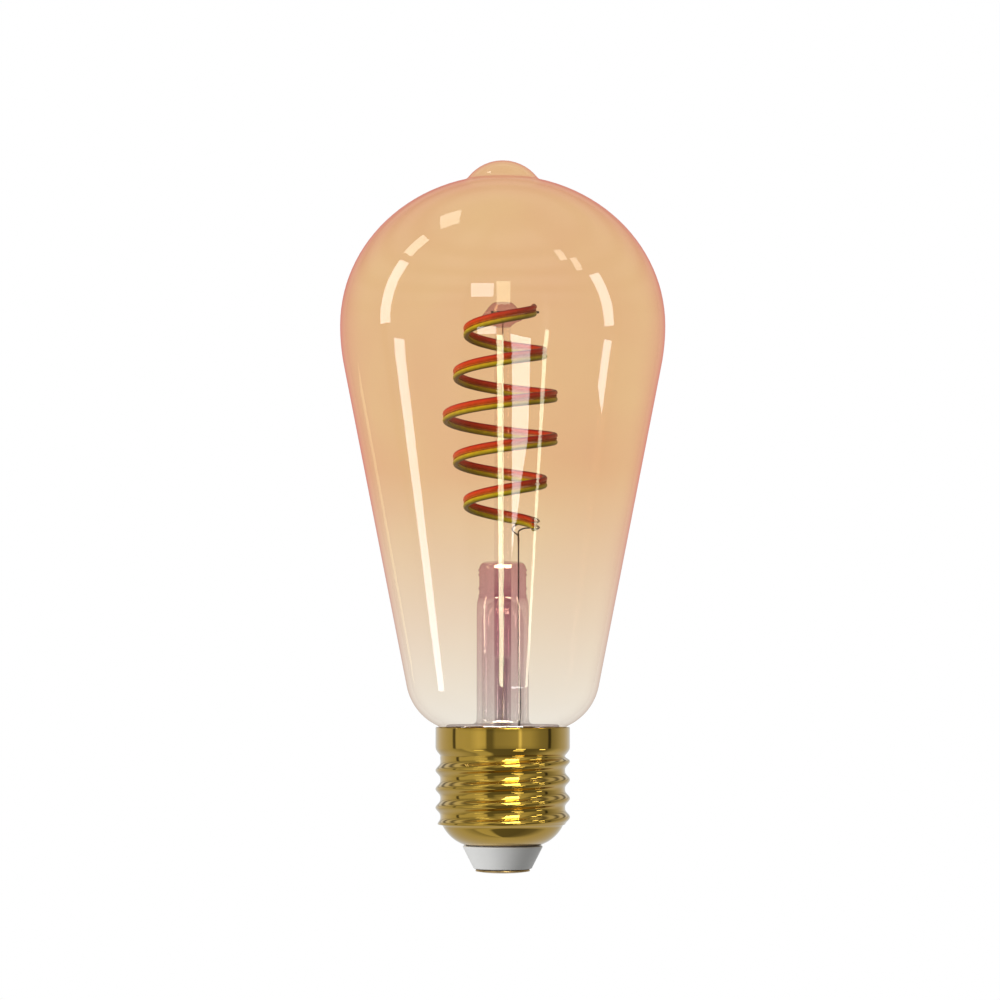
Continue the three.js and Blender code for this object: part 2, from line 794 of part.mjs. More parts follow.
function neutralLeadGeometry() {
  const start = boardBack + seatGap + neutralLeadDiameter / 2;
  const pad = 1 - driverWidth / 2;
  return wire(
    [
      [pad, start, driverTop - 3],
      [pad, start, driverTop - 0.4],
      [-neutralEnd + 1.2, start / 2, neutralHeight],
      [-neutralEnd, 0, neutralHeight],
    ],
    neutralLeadDiameter,
    12,
  );
}

function neutralSolderGeometry() {
  const bead = new THREE.SphereGeometry(neutralBead, 12, 8);
  return bead.translate(-neutralEnd - neutralBead - solderGap, 0, neutralHeight);
}

// ---- Assembly ----

const bulb = new THREE.Group();

function piece(parent, name, geometry, material) {
  const mesh = new THREE.Mesh(geometry, material);
  mesh.name = name;
  parent.add(mesh);
}

const glass = new THREE.Group();
piece(glass, "glass_envelope", envelopeGeometry(), finishes.amberGlass);
piece(glass, "stem_flare", stemFlareGeometry(), finishes.clearGlass);
piece(glass, "stem_rod", rodAlongZ(rodDiameter, rodBottom, buttonBottom, 16), finishes.clearGlass);
piece(glass, "stem_button", buttonGeometry(), finishes.clearGlass);
piece(glass, "exhaust_tube", exhaustGeometry(), finishes.clearGlass);

const filament = new THREE.Group();
piece(filament, "filament_warm_cord", cordGeometry(cordLift), finishes.warmPhosphor);
piece(filament, "filament_cool_cord", cordGeometry(-cordLift), finishes.coolPhosphor);
piece(filament, "filament_carrier", carrierGeometry(), finishes.carrier);
filament.add(terminalMesh("terminal_top", true, 0));
filament.add(terminalMesh("terminal_warm", false, cordLift));
filament.add(terminalMesh("terminal_cool", false, -cordLift));

const leads = new THREE.Group();
piece(leads, "top_support_wire", supportWireGeometry(), finishes.lead);
piece(leads, "common_lead", commonLeadGeometry(), finishes.lead);
for (const lead of lowerLeads) piece(leads, lead.name, lowerLeadGeometry(lead), finishes.lead);

const cap = new THREE.Group();
piece(cap, "cap_shell", capShellGeometry(), finishes.goldShell);
piece(cap, "cap_cement", cementGeometry(), finishes.cement);
piece(cap, "cap_insulator", insulatorGeometry(), finishes.whiteInsulator);
piece(cap, "centre_contact", contactGeometry(), finishes.brass);
piece(cap, "contact_solder", contactSolderGeometry(), finishes.solder);

const electronics = new THREE.Group();
piece(electronics, "driver_sleeve", sleeveGeometry(), finishes.sleevePlastic);
piece(electronics, "driver_board", driverBoardGeometry(), finishes.boardGreen);
piece(electronics, "bulk_capacitor", capacitorGeometry(), finishes.capacitorSleeve);
piece(electronics, "inductor_core", inductorCoreGeometry(), finishes.ferrite);
piece(electronics, "inductor_winding", inductorWindingGeometry(), finishes.copper);
piece(electronics, "fusible_resistor", resistorGeometry(), finishes.resistorBody);
const rectifierBody = blockOn(boardBack, rectifier, rectifier.x, driverBottom + rectifier.rise);
piece(electronics, "bridge_rectifier", rectifierBody, finishes.chipBlack);
["warm_driver_chip", "cool_driver_chip"].forEach((name, i) => {
  const height = driverBottom + driverChip.rise + i * driverChip.spacing;
  const body = blockOn(boardBack, driverChip, driverChip.x, height);
  piece(electronics, name, body, finishes.chipBlack);
});
const radioSlab = boardGeometry(radioBoard, radioBoard.width, radioBottom);
piece(electronics, "radio_board", radioSlab, finishes.boardBlack);
const shieldCan = blockOn(radioBack, shield, 0, radioBottom + shield.rise);
piece(electronics, "radio_shield", shieldCan, finishes.canSteel);
piece(electronics, "radio_antenna", antennaGeometry(), finishes.copper);
piece(electronics, "board_link", boardLinkGeometry(), finishes.chipBlack);
piece(electronics, "line_lead", lineLeadGeometry(), finishes.redWire);
piece(electronics, "neutral_lead", neutralLeadGeometry(), finishes.blueWire);
piece(electronics, "neutral_solder", neutralSolderGeometry(), finishes.solder);

bulb.add(glass, filament, leads, cap, electronics);

export default bulb;
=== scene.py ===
import math

import bmesh
import bpy
from mathutils import Matrix, Vector


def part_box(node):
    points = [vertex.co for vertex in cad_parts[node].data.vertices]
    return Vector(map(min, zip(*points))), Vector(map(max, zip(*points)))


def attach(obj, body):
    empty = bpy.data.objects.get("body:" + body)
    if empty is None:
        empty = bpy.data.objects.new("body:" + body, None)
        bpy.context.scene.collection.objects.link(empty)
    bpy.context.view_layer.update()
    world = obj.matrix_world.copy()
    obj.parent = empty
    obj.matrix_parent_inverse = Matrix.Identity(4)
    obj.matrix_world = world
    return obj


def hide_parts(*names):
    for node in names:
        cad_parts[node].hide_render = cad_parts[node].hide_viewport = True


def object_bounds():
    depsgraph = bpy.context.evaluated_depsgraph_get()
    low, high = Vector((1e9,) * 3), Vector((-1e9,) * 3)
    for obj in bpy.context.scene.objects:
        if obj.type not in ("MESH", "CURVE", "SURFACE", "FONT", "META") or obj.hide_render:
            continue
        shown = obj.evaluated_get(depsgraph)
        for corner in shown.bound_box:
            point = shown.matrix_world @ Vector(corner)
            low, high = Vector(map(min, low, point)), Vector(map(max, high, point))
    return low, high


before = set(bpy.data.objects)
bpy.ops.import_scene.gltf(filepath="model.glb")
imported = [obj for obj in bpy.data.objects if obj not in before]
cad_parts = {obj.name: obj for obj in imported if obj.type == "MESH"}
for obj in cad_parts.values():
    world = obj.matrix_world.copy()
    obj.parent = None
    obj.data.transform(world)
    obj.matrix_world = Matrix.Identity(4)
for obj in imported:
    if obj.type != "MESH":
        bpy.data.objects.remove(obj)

mm = 0.001
cadBounds = [list(corner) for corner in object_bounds()]
up = Vector((0, 0, 1))
middle = Vector(((cadBounds[0][0] + cadBounds[1][0]) / 2, (cadBounds[0][1] + cadBounds[1][1]) / 2,
                 (cadBounds[0][2] + cadBounds[1][2]) / 2))


def low(node):
    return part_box(node)[0].z / mm


def high(node):
    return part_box(node)[1].z / mm


def reach(node):
    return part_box(node)[1].x / mm        # a turned piece's radius


# camera, a little below the middle of the glass and tilted up
cameraSet = {"eye": (-0.53, -650, 37), "aim": (-0.53, 0, 72.9), "lens": 119.3, "sensor": 36}
cameraData = bpy.data.cameras.new("camera")
cameraData.lens = cameraSet["lens"]
cameraData.sensor_width = cameraSet["sensor"]
cameraData.clip_start = 0.01
camera = bpy.data.objects.new("camera", cameraData)
camera.location = Vector(cameraSet["eye"]) * mm
camera.rotation_euler = (Vector(cameraSet["aim"]) * mm - camera.location).to_track_quat("-Z", "Y").to_euler()
bpy.context.scene.collection.objects.link(camera)
bpy.context.scene.camera = camera


# small helpers for shader nodes

def makeMaterial(name):
    material = bpy.data.materials.new(name)
    material.use_nodes = True
    material.node_tree.nodes.clear()
    return material


def addNode(material, kind, settings=None, **inputs):
    node = material.node_tree.nodes.new("ShaderNode" + kind)
    for key, value in (settings or {}).items():
        setattr(node, key, value)
    for key, value in inputs.items():
        node.inputs[key.replace("_", " ")].default_value = value
    return node


def join(material, source, target):
    material.node_tree.links.new(source, target)


def place(material, stretch=(1, 1, 1)):
    where = addNode(material, "TexCoord").outputs["Object"]
    mapping = addNode(material, "Mapping")
    mapping.inputs["Scale"].default_value = stretch
    join(material, where, mapping.inputs["Vector"])
    return mapping.outputs["Vector"]


def noise(material, where, scale, detail=3, roughness=0.5):
    texture = addNode(material, "TexNoise", Scale=scale, Detail=detail, Roughness=roughness)
    join(material, where, texture.inputs["Vector"])
    return texture.outputs["Fac"]


def spread(material, value, lowOut, highOut, lowIn=0.3, highIn=0.7):
    node = addNode(material, "MapRange")
    node.inputs["From Min"].default_value = lowIn
    node.inputs["From Max"].default_value = highIn
    node.inputs["To Min"].default_value = lowOut
    node.inputs["To Max"].default_value = highOut
    join(material, value, node.inputs["Value"])
    return node.outputs["Result"]


def blendColours(material, factor, first, second):
    node = addNode(material, "Mix", {"data_type": "RGBA"})
    colourSockets = [socket for socket in node.inputs if socket.type == "RGBA"]
    for socket, value in zip(colourSockets, (first, second)):
        if isinstance(value, tuple):
            socket.default_value = (*value, 1)
        else:
            join(material, value, socket)
    join(material, factor, node.inputs["Factor"])
    return [output for output in node.outputs if output.type == "RGBA"][0]


def bumpOf(material, value, strength, distance):
    node = addNode(material, "Bump", Strength=strength, Distance=distance)
    join(material, value, node.inputs["Height"])
    return node.outputs["Normal"]


def finishMaterial(material, shader):
    output = addNode(material, "OutputMaterial")
    join(material, shader, output.inputs["Surface"])
    return material


# materials

clearWall = (0.992, 0.988, 0.986)      # what a face without any tint passes


def tintedGlass(name, look):
    # thin tinted glass: each face passes a tint, deeper where it is seen edge on, and mirrors a little
    # the "depth" attribute says how much of the tint a face carries
    material = makeMaterial(name)
    where = place(material)
    height = addNode(material, "SeparateXYZ")
    join(material, where, height.inputs["Vector"])
    rise = spread(material, height.outputs["Z"], 0, 1, look["clearBelow"] * mm, look["fullAbove"] * mm)
    depth = addNode(material, "Attribute", {"attribute_name": "depth"}).outputs["Fac"]
    cloud = spread(material, noise(material, where, look["cloudScale"], 2), 0, 0.16)
    full = blendColours(material, cloud, look["fullTint"], look["edgeTint"])
    tint = blendColours(material, rise, look["clearTint"], full)
    facing = addNode(material, "LayerWeight", Blend=0.5).outputs["Facing"]
    rimTint = blendColours(material, rise, look["clearEdge"], look["edgeTint"])
    edge = addNode(material, "Math", {"operation": "POWER"})
    edge.inputs[1].default_value = look["edgePower"]
    join(material, spread(material, facing, 0, 1, look["edgeFrom"], 1), edge.inputs[0])
    seen = blendColours(material, depth, clearWall,
                        blendColours(material, edge.outputs["Value"], tint, rimTint))
    passing = addNode(material, "BsdfTransparent")
    join(material, seen, passing.inputs["Color"])
    ripple = bumpOf(material, noise(material, where, look["rippleScale"], 2), look["ripple"], 0.0004)
    mirror = addNode(material, "BsdfGlossy", Color=(1, 1, 1, 1), Roughness=look["roughness"])
    join(material, ripple, mirror.inputs["Normal"])
    fresnel = addNode(material, "Fresnel", IOR=1.5).outputs["Fac"]
    mirrorPart = spread(material, fresnel, look["mirrorLow"], look["mirrorHigh"], 0.04, 0.7)
    shown = addNode(material, "Math", {"operation": "MULTIPLY"})
    join(material, mirrorPart, shown.inputs[0])
    side = addNode(material, "Math", {"operation": "MULTIPLY"})
    behind = addNode(material, "NewGeometry").outputs["Backfacing"]
    join(material, spread(material, depth, look["innerMirror"], 1, 0.1, 0.35), side.inputs[0])
    join(material, spread(material, behind, 1, look["innerMirror"], 0, 1), side.inputs[1])
    join(material, side.outputs["Value"], shown.inputs[1])
    mix = addNode(material, "MixShader")
    join(material, shown.outputs["Value"], mix.inputs["Fac"])
    join(material, passing.outputs["BSDF"], mix.inputs[1])
    join(material, mirror.outputs["BSDF"], mix.inputs[2])
    return finishMaterial(material, mix.outputs["Shader"])


def solidFinish(name, look):
    # one recipe for metal, moulding and lacquer: two tones mixed at random and a fine surface
    material = makeMaterial(name)
    where = place(material)
    tone = noise(material, where, look["toneScale"], 4, 0.6)
    colour = blendColours(material, spread(material, tone, 0, 1), look["colour"], look["second"])
    grain = noise(material, place(material, look.get("grainStretch", (1, 1, 1))), look["grainScale"], 3)
    shader = addNode(material, "BsdfPrincipled", Metallic=look.get("metal", 0))
    shader.inputs["Coat Weight"].default_value = look.get("coat", 0)
    shader.inputs["Coat Roughness"].default_value = look.get("coatRoughness", 0.1)
    shader.inputs["Coat IOR"].default_value = look.get("coatIor", 1.5)
    join(material, colour, shader.inputs["Base Color"])
    join(material, spread(material, grain, *look["roughness"]), shader.inputs["Roughness"])
    normal = bumpOf(material, grain, look["bump"], look["bumpDepth"])
    join(material, normal, shader.inputs["Normal"])
    return finishMaterial(material, shader.outputs["BSDF"])


def cordFinish(name, look):
    # a phosphor coat whose colour bands across the cord carry painted light and shade: painted shade on the
    # outer edges of the pair, painted light on the sides that face each other between the cords, with small
    # blobs in it. The "rise" attribute runs from -1 under the cord to 1 on top of it
    material = makeMaterial(name)
    where = place(material)
    rise = addNode(material, "Attribute", {"attribute_name": "rise"}).outputs["Fac"]
    ramp = addNode(material, "ValToRGB")
    elements = ramp.color_ramp.elements
    while len(elements) < len(look["shadingBands"]):
        elements.new(0.5)
    for element, (position, colour) in zip(elements, look["shadingBands"]):
        element.position = (position + 1) / 2
        element.color = (*colour, 1)
    join(material, spread(material, rise, 0, 1, -1, 1), ramp.inputs["Fac"])
    blobs = noise(material, where, look["toneScale"], 4, 0.6)
    colour = blendColours(material, spread(material, blobs, 0, 0.45), ramp.outputs["Color"], look["second"])
    grain = noise(material, where, look["grainScale"], 3)
    shader = addNode(material, "BsdfPrincipled")
    shader.inputs["Coat Weight"].default_value = 0.3
    shader.inputs["Coat Roughness"].default_value = 0.2
    join(material, colour, shader.inputs["Base Color"])
    join(material, spread(material, grain, *look["roughness"]), shader.inputs["Roughness"])
    join(material, bumpOf(material, grain, look["bump"], look["bumpDepth"]), shader.inputs["Normal"])
    return finishMaterial(material, shader.outputs["BSDF"])


amberLook = {"fullTint": (0.905, 0.74, 0.525), "clearTint": (0.938, 0.915, 0.868),
             "edgeTint": (0.80, 0.40, 0.385), "clearEdge": (0.72, 0.66, 0.60), "clearBelow": 27,
             "fullAbove": 79, "cloudScale": 40, "edgePower": 2.2, "edgeFrom": 0.45, "roughness": 0.006,
             "rippleScale": 26, "ripple": 0.012, "mirrorLow": 0.03, "mirrorHigh": 0.12, "innerMirror": 0.015}
stemLook = {"fullTint": (0.80, 0.62, 0.72), "clearTint": (0.80, 0.765, 0.78), "edgeTint": (0.62, 0.40, 0.47),
            "clearEdge": (0.62, 0.57, 0.58), "clearBelow": 29, "fullAbove": 48, "cloudScale": 200,
            "edgePower": 2, "edgeFrom": 0.45, "roughness": 0.03, "rippleScale": 220, "ripple": 0.05,
            "mirrorLow": 0.055, "mirrorHigh": 0.35, "innerMirror": 0.3}
goldLook = {"colour": (0.70, 0.435, 0.022), "second": (0.63, 0.38, 0.018), "toneScale": 60, "metal": 1,
            "roughness": (0.035, 0.06), "grainScale": 300, "grainStretch": (0.35, 0.35, 3), "bump": 0.05,
            "bumpDepth": 0.00002, "coat": 1, "coatRoughness": 0.04, "coatIor": 1.62}
brassLook = {"colour": (0.72, 0.50, 0.22), "second": (0.50, 0.33, 0.13), "toneScale": 500, "metal": 1,
             "roughness": (0.22, 0.38), "grainScale": 2600, "bump": 0.25, "bumpDepth": 0.00004}
insulatorLook = {"colour": (0.80, 0.80, 0.795), "second": (0.765, 0.765, 0.755), "toneScale": 130,
                 "coat": 0.35, "roughness": (0.34, 0.46), "grainScale": 2200, "bump": 0.12,
                 "bumpDepth": 0.00003}
# each cord's bands, from under it (-1) to its top (1), mix its own colour with painted shade on its outer
# edge (the warm cord's top, the cool cord's underside) and painted light on the side that faces the other
# cord
warmLook = {"shadingBands": [(-0.95, (0.95, 0.32, 0.03)), (-0.6, (0.93, 0.17, 0.02)), (0.1, (0.93, 0.085, 0.022)),
                      (0.55, (0.62, 0.03, 0.012)), (0.9, (0.20, 0.012, 0.006))],
            "second": (0.55, 0.035, 0.012), "toneScale": 900, "roughness": (0.34, 0.5), "grainScale": 3200,
            "bump": 0.3, "bumpDepth": 0.00003}
coolLook = {"shadingBands": [(-0.9, (0.17, 0.13, 0.008)), (-0.5, (0.42, 0.43, 0.012)), (0, (0.66, 0.78, 0.018)),
                      (0.5, (0.86, 0.80, 0.02)), (0.95, (0.92, 0.58, 0.025))],
            "second": (0.34, 0.30, 0.012), "toneScale": 900, "roughness": (0.34, 0.5), "grainScale": 3200,
            "bump": 0.3, "bumpDepth": 0.00003}
# the carrier strip is painted lighter than its own tone: painted light that fills the shade in the crease
# between the two cords
carrierLook = {"colour": (0.85, 0.34, 0.06), "second": (0.70, 0.22, 0.04), "toneScale": 900,
               "roughness": (0.4, 0.6), "grainScale": 3000, "bump": 0.2, "bumpDepth": 0.00003}
wireLook = {"colour": (0.36, 0.33, 0.32), "second": (0.27, 0.245, 0.24), "toneScale": 800, "metal": 1,
            "roughness": (0.25, 0.42), "grainScale": 3500, "grainStretch": (1, 1, 0.1), "bump": 0.2,
            "bumpDepth": 0.00002}
coatedLook = {"colour": (0.82, 0.74, 0.62), "second": (0.74, 0.64, 0.53), "toneScale": 700, "coat": 0.4,
              "roughness": (0.3, 0.45), "grainScale": 3300, "grainStretch": (1, 1, 0.1), "bump": 0.2,
              "bumpDepth": 0.00002}
cementLook = {"colour": (0.50, 0.46, 0.40), "second": (0.36, 0.33, 0.29), "toneScale": 900,
              "roughness": (0.8, 0.95), "grainScale": 2600, "bump": 0.8, "bumpDepth": 0.0002}


def hiddenLook(colour, second, toneScale, roughness, grainScale, bump, bumpDepth, **more):
    return {"colour": colour, "second": second, "toneScale": toneScale, "roughness": roughness,
            "grainScale": grainScale, "bump": bump, "bumpDepth": bumpDepth, **more}


# finishes of the pieces that the cap hides
innerLooks = {
    "driver_sleeve": hiddenLook((0.78, 0.76, 0.71), (0.70, 0.68, 0.62), 120, (0.4, 0.55), 1800, 0.2,
                                0.00004),
    "driver_board": hiddenLook((0.02, 0.11, 0.05), (0.05, 0.20, 0.09), 900, (0.3, 0.45), 1500, 0.3, 0.00005,
                               coat=0.5),
    "radio_board": hiddenLook((0.012, 0.014, 0.018), (0.05, 0.055, 0.06), 1100, (0.3, 0.45), 1500, 0.3,
                              0.00005, coat=0.5),
    "bulk_capacitor": hiddenLook((0.02, 0.025, 0.04), (0.03, 0.04, 0.06), 300, (0.25, 0.4), 1400, 0.15,
                                 0.00005, coat=0.6),
    "inductor_core": hiddenLook((0.05, 0.05, 0.052), (0.09, 0.088, 0.085), 1600, (0.6, 0.8), 3600, 0.5,
                                0.00005),
    "inductor_winding": hiddenLook((0.52, 0.20, 0.06), (0.38, 0.13, 0.035), 600, (0.25, 0.4), 1500, 0.9,
                                   0.0002, metal=1, grainStretch=(0.1, 0.1, 3)),
    "fusible_resistor": hiddenLook((0.16, 0.32, 0.28), (0.12, 0.26, 0.23), 500, (0.35, 0.5), 2600, 0.25,
                                   0.00004, coat=0.4),
    "bridge_rectifier": hiddenLook((0.012, 0.012, 0.013), (0.03, 0.03, 0.032), 900, (0.45, 0.6), 4200, 0.4,
                                   0.00003),
    "warm_driver_chip": hiddenLook((0.011, 0.011, 0.012), (0.028, 0.028, 0.03), 950, (0.45, 0.6), 4300, 0.4,
                                   0.00003),
    "cool_driver_chip": hiddenLook((0.011, 0.011, 0.012), (0.028, 0.028, 0.03), 980, (0.45, 0.6), 4400, 0.4,
                                   0.00003),
    "radio_shield": hiddenLook((0.60, 0.61, 0.62), (0.50, 0.51, 0.52), 260, (0.25, 0.4), 1500, 0.2, 0.00003,
                               metal=1, grainStretch=(1, 1, 0.1)),
    "radio_antenna": hiddenLook((0.60, 0.28, 0.10), (0.48, 0.21, 0.07), 700, (0.2, 0.35), 2200, 0.2,
                                0.00003, metal=1),
    "board_link": hiddenLook((0.014, 0.014, 0.015), (0.03, 0.03, 0.03), 800, (0.4, 0.55), 2500, 0.3,
                             0.00004),
    "line_lead": hiddenLook((0.42, 0.015, 0.012), (0.34, 0.012, 0.01), 400, (0.35, 0.5), 2000, 0.2,
                            0.00004),
    "neutral_lead": hiddenLook((0.02, 0.06, 0.30), (0.016, 0.05, 0.24), 400, (0.35, 0.5), 2000, 0.2,
                               0.00004),
    "contact_solder": hiddenLook((0.62, 0.63, 0.65), (0.45, 0.46, 0.48), 700, (0.2, 0.4), 1600, 0.4,
                                 0.00005, metal=1),
    "neutral_solder": hiddenLook((0.62, 0.63, 0.65), (0.45, 0.46, 0.48), 750, (0.2, 0.4), 1700, 0.4,
                                 0.00005, metal=1),
}

amberGlass = tintedGlass("amber_glass", amberLook)
stemGlass = tintedGlass("stem_glass", stemLook)
goldShell = solidFinish("gold_shell", goldLook)
contactBrass = solidFinish("contact_brass", brassLook)
insulatorWhite = solidFinish("insulator_white", insulatorLook)
warmPhosphor = cordFinish("warm_phosphor", warmLook)
coolPhosphor = cordFinish("cool_phosphor", coolLook)
carrierStrip = solidFinish("carrier_strip", carrierLook)
nickelWire = solidFinish("nickel_wire", wireLook)
coatedWire = solidFinish("coated_wire", coatedLook)
greyCement = solidFinish("grey_cement", cementLook)
print("materials done")


# mesh helpers

def arc(centre, radius, start, end, steps):
    # points of an arc as (distance from the axis, height), angles in radians
    return [(centre[0] + radius * math.cos(start + (end - start) * i / steps),
             centre[1] + radius * math.sin(start + (end - start) * i / steps)) for i in range(steps + 1)]


def smooth(value, start, end):
    t = min(max((value - start) / (end - start), 0), 1)
    return t * t * (3 - 2 * t)


def finishPiece(name, mesh, material, nodes, sharp=None):
    # puts a finished bmesh in the scene as one piece
    data = bpy.data.meshes.new(name)
    mesh.to_mesh(data)
    mesh.free()
    for face in data.polygons:
        face.use_smooth = True
    if sharp:
        data.set_sharp_from_angle(angle=math.radians(sharp))
    data.materials.append(material)
    piece = bpy.data.objects.new(name, data)
    bpy.context.scene.collection.objects.link(piece)
    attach(piece, "root")
    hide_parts(*nodes)
    return piece


def spinOutline(outline, steps, closed=False, depths=None):
    # turns an outline of (radius, height) in mm about the bulb's axis; glass also carries its tint's depth
    mesh = bmesh.new()
    layer = mesh.verts.layers.float.new("depth") if depths else None
    points = [mesh.verts.new((radius * mm, 0, height * mm)) for radius, height in outline]
    for point, depth in zip(points, depths or []):
        point[layer] = depth
    edges = [mesh.edges.new(pair) for pair in zip(points, points[1:])]
    if closed:
        edges.append(mesh.edges.new((points[-1], points[0])))
    bmesh.ops.spin(mesh, geom=points + edges, cent=(0, 0, 0), axis=(0, 0, 1), angle=2 * math.pi, steps=steps,
                   use_merge=True)
    bmesh.ops.remove_doubles(mesh, verts=mesh.verts, dist=0.002 * mm)
    bmesh.ops.recalc_face_normals(mesh, faces=mesh.faces)
    return mesh


def wirePiece(name, points, diameter, material, nodes, curved=True):
    # a wire drawn along a smooth curve, then made a mesh with closed ends
    curve = bpy.data.curves.new(name + "_path", "CURVE")
    curve.dimensions = "3D"
    curve.resolution_u = 14
    curve.bevel_depth = diameter / 2 * mm
    curve.bevel_resolution = 2
    curve.use_fill_caps = True
    spline = curve.splines.new("BEZIER")
    spline.bezier_points.add(len(points) - 1)
    for knot, point in zip(spline.bezier_points, points):
        knot.co = Vector(point) * mm
        knot.handle_left_type = knot.handle_right_type = "AUTO" if curved else "VECTOR"
    holder = bpy.data.objects.new(name + "_path", curve)
    bpy.context.scene.collection.objects.link(holder)
    bpy.context.view_layer.update()
    data = bpy.data.meshes.new_from_object(holder.evaluated_get(bpy.context.evaluated_depsgraph_get()))
    mesh = bmesh.new()
    mesh.from_mesh(data)
    bmesh.ops.remove_doubles(mesh, verts=mesh.verts, dist=0.001 * mm)
    bmesh.ops.recalc_face_normals(mesh, faces=mesh.faces)
    bpy.data.objects.remove(holder)
    bpy.data.meshes.remove(data)
    return finishPiece(name, mesh, material, nodes, sharp=50)


# the envelope, in mm; the neck stands in the shell with cement round it
glass = {"wall": 1.0, "crown": 32.7, "dome": 29.5, "pip": 7.3, "pipFillet": 1.1, "bellyCurve": 41.6,
         "shoulderCurve": 10.8, "shoulderInset": 4.1, "neckFillet": 0.8, "rimToGlass": 0.1, "steps": 144,
         "shellWall": 0.25, "cement": 0.6, "innerDepth": 0.04}
glass["top"] = high("glass_envelope")
glass["bottom"] = low("glass_envelope")
glass["radius"] = reach("glass_envelope")
capRim = high("cap_shell")
glass["neck"] = reach("cap_shell") - glass["shellWall"] - glass["cement"]


def glassOutline(depth):
    equator = glass["radius"] - depth
    rise = glass["dome"] - depth
    belly = glass["top"] - glass["crown"]

    def domeAt(radius):
        return belly + rise * math.sqrt(1 - (radius / equator) ** 2)

    # neck, neck fillet, shoulder arc and belly arc share centres at every depth
    neck = glass["neck"] - depth
    fillet = glass["neckFillet"] + depth
    shoulder = glass["shoulderCurve"] - depth
    filletAt = (neck + fillet, capRim + glass["rimToGlass"] - glass["neckFillet"] * 0.7)
    across = glass["shoulderInset"] + glass["neckFillet"]
    shoulderAt = (glass["neck"] - glass["shoulderInset"],
                  filletAt[1] + math.sqrt((shoulder + fillet) ** 2 - across ** 2))
    bellyCurve = glass["bellyCurve"] - depth
    bellyAt = (equator - bellyCurve, belly)
    gap = (bellyAt[0] - shoulderAt[0], bellyAt[1] - shoulderAt[1])
    taper = math.asin((bellyCurve - shoulder) / math.hypot(*gap)) - math.atan2(-gap[0], gap[1])
    meet = math.atan2(filletAt[1] - shoulderAt[1], filletAt[0] - shoulderAt[0])
    points = [(neck, glass["bottom"])]
    points += arc(filletAt, fillet, math.pi, meet + math.pi, 6)
    points += arc(shoulderAt, shoulder, meet, -taper, 16)[1:]
    points += arc(bellyAt, bellyCurve, -taper, 0, 8)

    # dome, crease and pip
    base = glass["pip"] - depth / 2
    pipRise = glass["top"] - depth - domeAt(base)
    sphere = (base ** 2 + pipRise ** 2) / (2 * pipRise)
    centre = glass["top"] - depth - sphere
    domeEdge = base + glass["pipFillet"]
    pipEdge = base - glass["pipFillet"] * 0.5
    pipAt = centre + math.sqrt(sphere ** 2 - pipEdge ** 2)
    stop = math.acos(domeEdge / equator)
    points += [(equator * math.cos(stop * i / 24), belly + rise * math.sin(stop * i / 24))
               for i in range(1, 25)]
    for i in range(1, 7):
        t = i / 6
        weights = ((1 - t) ** 2, 2 * t * (1 - t), t ** 2)
        points.append((weights[0] * domeEdge + weights[1] * base + weights[2] * pipEdge,
                       weights[0] * domeAt(domeEdge) + weights[1] * domeAt(base) + weights[2] * pipAt))
    edge = math.asin(pipEdge / sphere)
    points += [(sphere * math.sin(edge * (1 - i / 8)), centre + sphere * math.cos(edge * (1 - i / 8)))
               for i in range(1, 9)]
    return points


outsideOutline = glassOutline(0)
insideOutline = glassOutline(glass["wall"])[::-1]
envelopeMesh = spinOutline(outsideOutline + insideOutline, glass["steps"],
                           depths=[1] * len(outsideOutline) + [glass["innerDepth"]] * len(insideOutline))
# the neck's cut end joins the two walls
openEdges = [edge for edge in envelopeMesh.edges if edge.is_boundary]
bmesh.ops.bridge_loops(envelopeMesh, edges=openEdges)
bmesh.ops.recalc_face_normals(envelopeMesh, faces=envelopeMesh.faces)
finishPiece("envelope_glass", envelopeMesh, amberGlass, ["glass_envelope"])
print("envelope done")


# the stem: a flared tube with a press on top, a rod, a button and the pumping tube
stem = {"steps": 48, "wall": 1.0, "tube": 5.1, "press": 4.6, "pressHeight": 6.8, "foot": 1.0, "rod": 1.65,
        "exhaust": 1.6, "bore": 0.9, "ring": 0.2}
stem["top"] = high("stem_flare")
stem["low"] = low("stem_flare")
stem["footRadius"] = reach("stem_flare")


def flareOutline():
    tube = stem["tube"]
    bore = tube - stem["wall"]
    press = stem["press"]
    pressLow = stem["top"] - stem["pressHeight"]
    footTop = stem["low"] + stem["foot"]
    ring = stem["ring"]
    outside = [(bore, stem["low"]), (stem["footRadius"] - 0.3, stem["low"])]
    outside += arc((stem["footRadius"] - 0.5, stem["low"] + 0.5), 0.5, -math.pi / 2, math.pi / 2, 6)
    outside += arc((tube + 1.1, footTop + 1.1), 1.1, -math.pi / 2, -math.pi, 6)
    outside += [(tube, pressLow - 2.2), (tube - 0.12, pressLow - 1.0), (press + 0.18, pressLow - 0.3)]
    # the jaws leave two pairs of shallow rings
    for height in (pressLow + 0.1, pressLow + 1.5, stem["top"] - 2.6, stem["top"] - 1.7):
        outside += [(press, height - 0.3), (press + ring, height - 0.1), (press + ring, height + 0.1),
                    (press, height + 0.3)]
    outside += arc((press - 1.5, stem["top"] - 1.5), 1.5, 0.25, math.pi / 2, 7)
    outside += [(stem["rod"] + 0.5, stem["top"]), (0, stem["top"])]
    inside = [(0, pressLow - 0.6), (1.4, pressLow - 0.75), (2.6, pressLow - 1.3),
              (bore - 0.45, pressLow - 2.6), (bore - 0.08, pressLow - 4.4), (bore, pressLow - 6)]
    return inside + outside


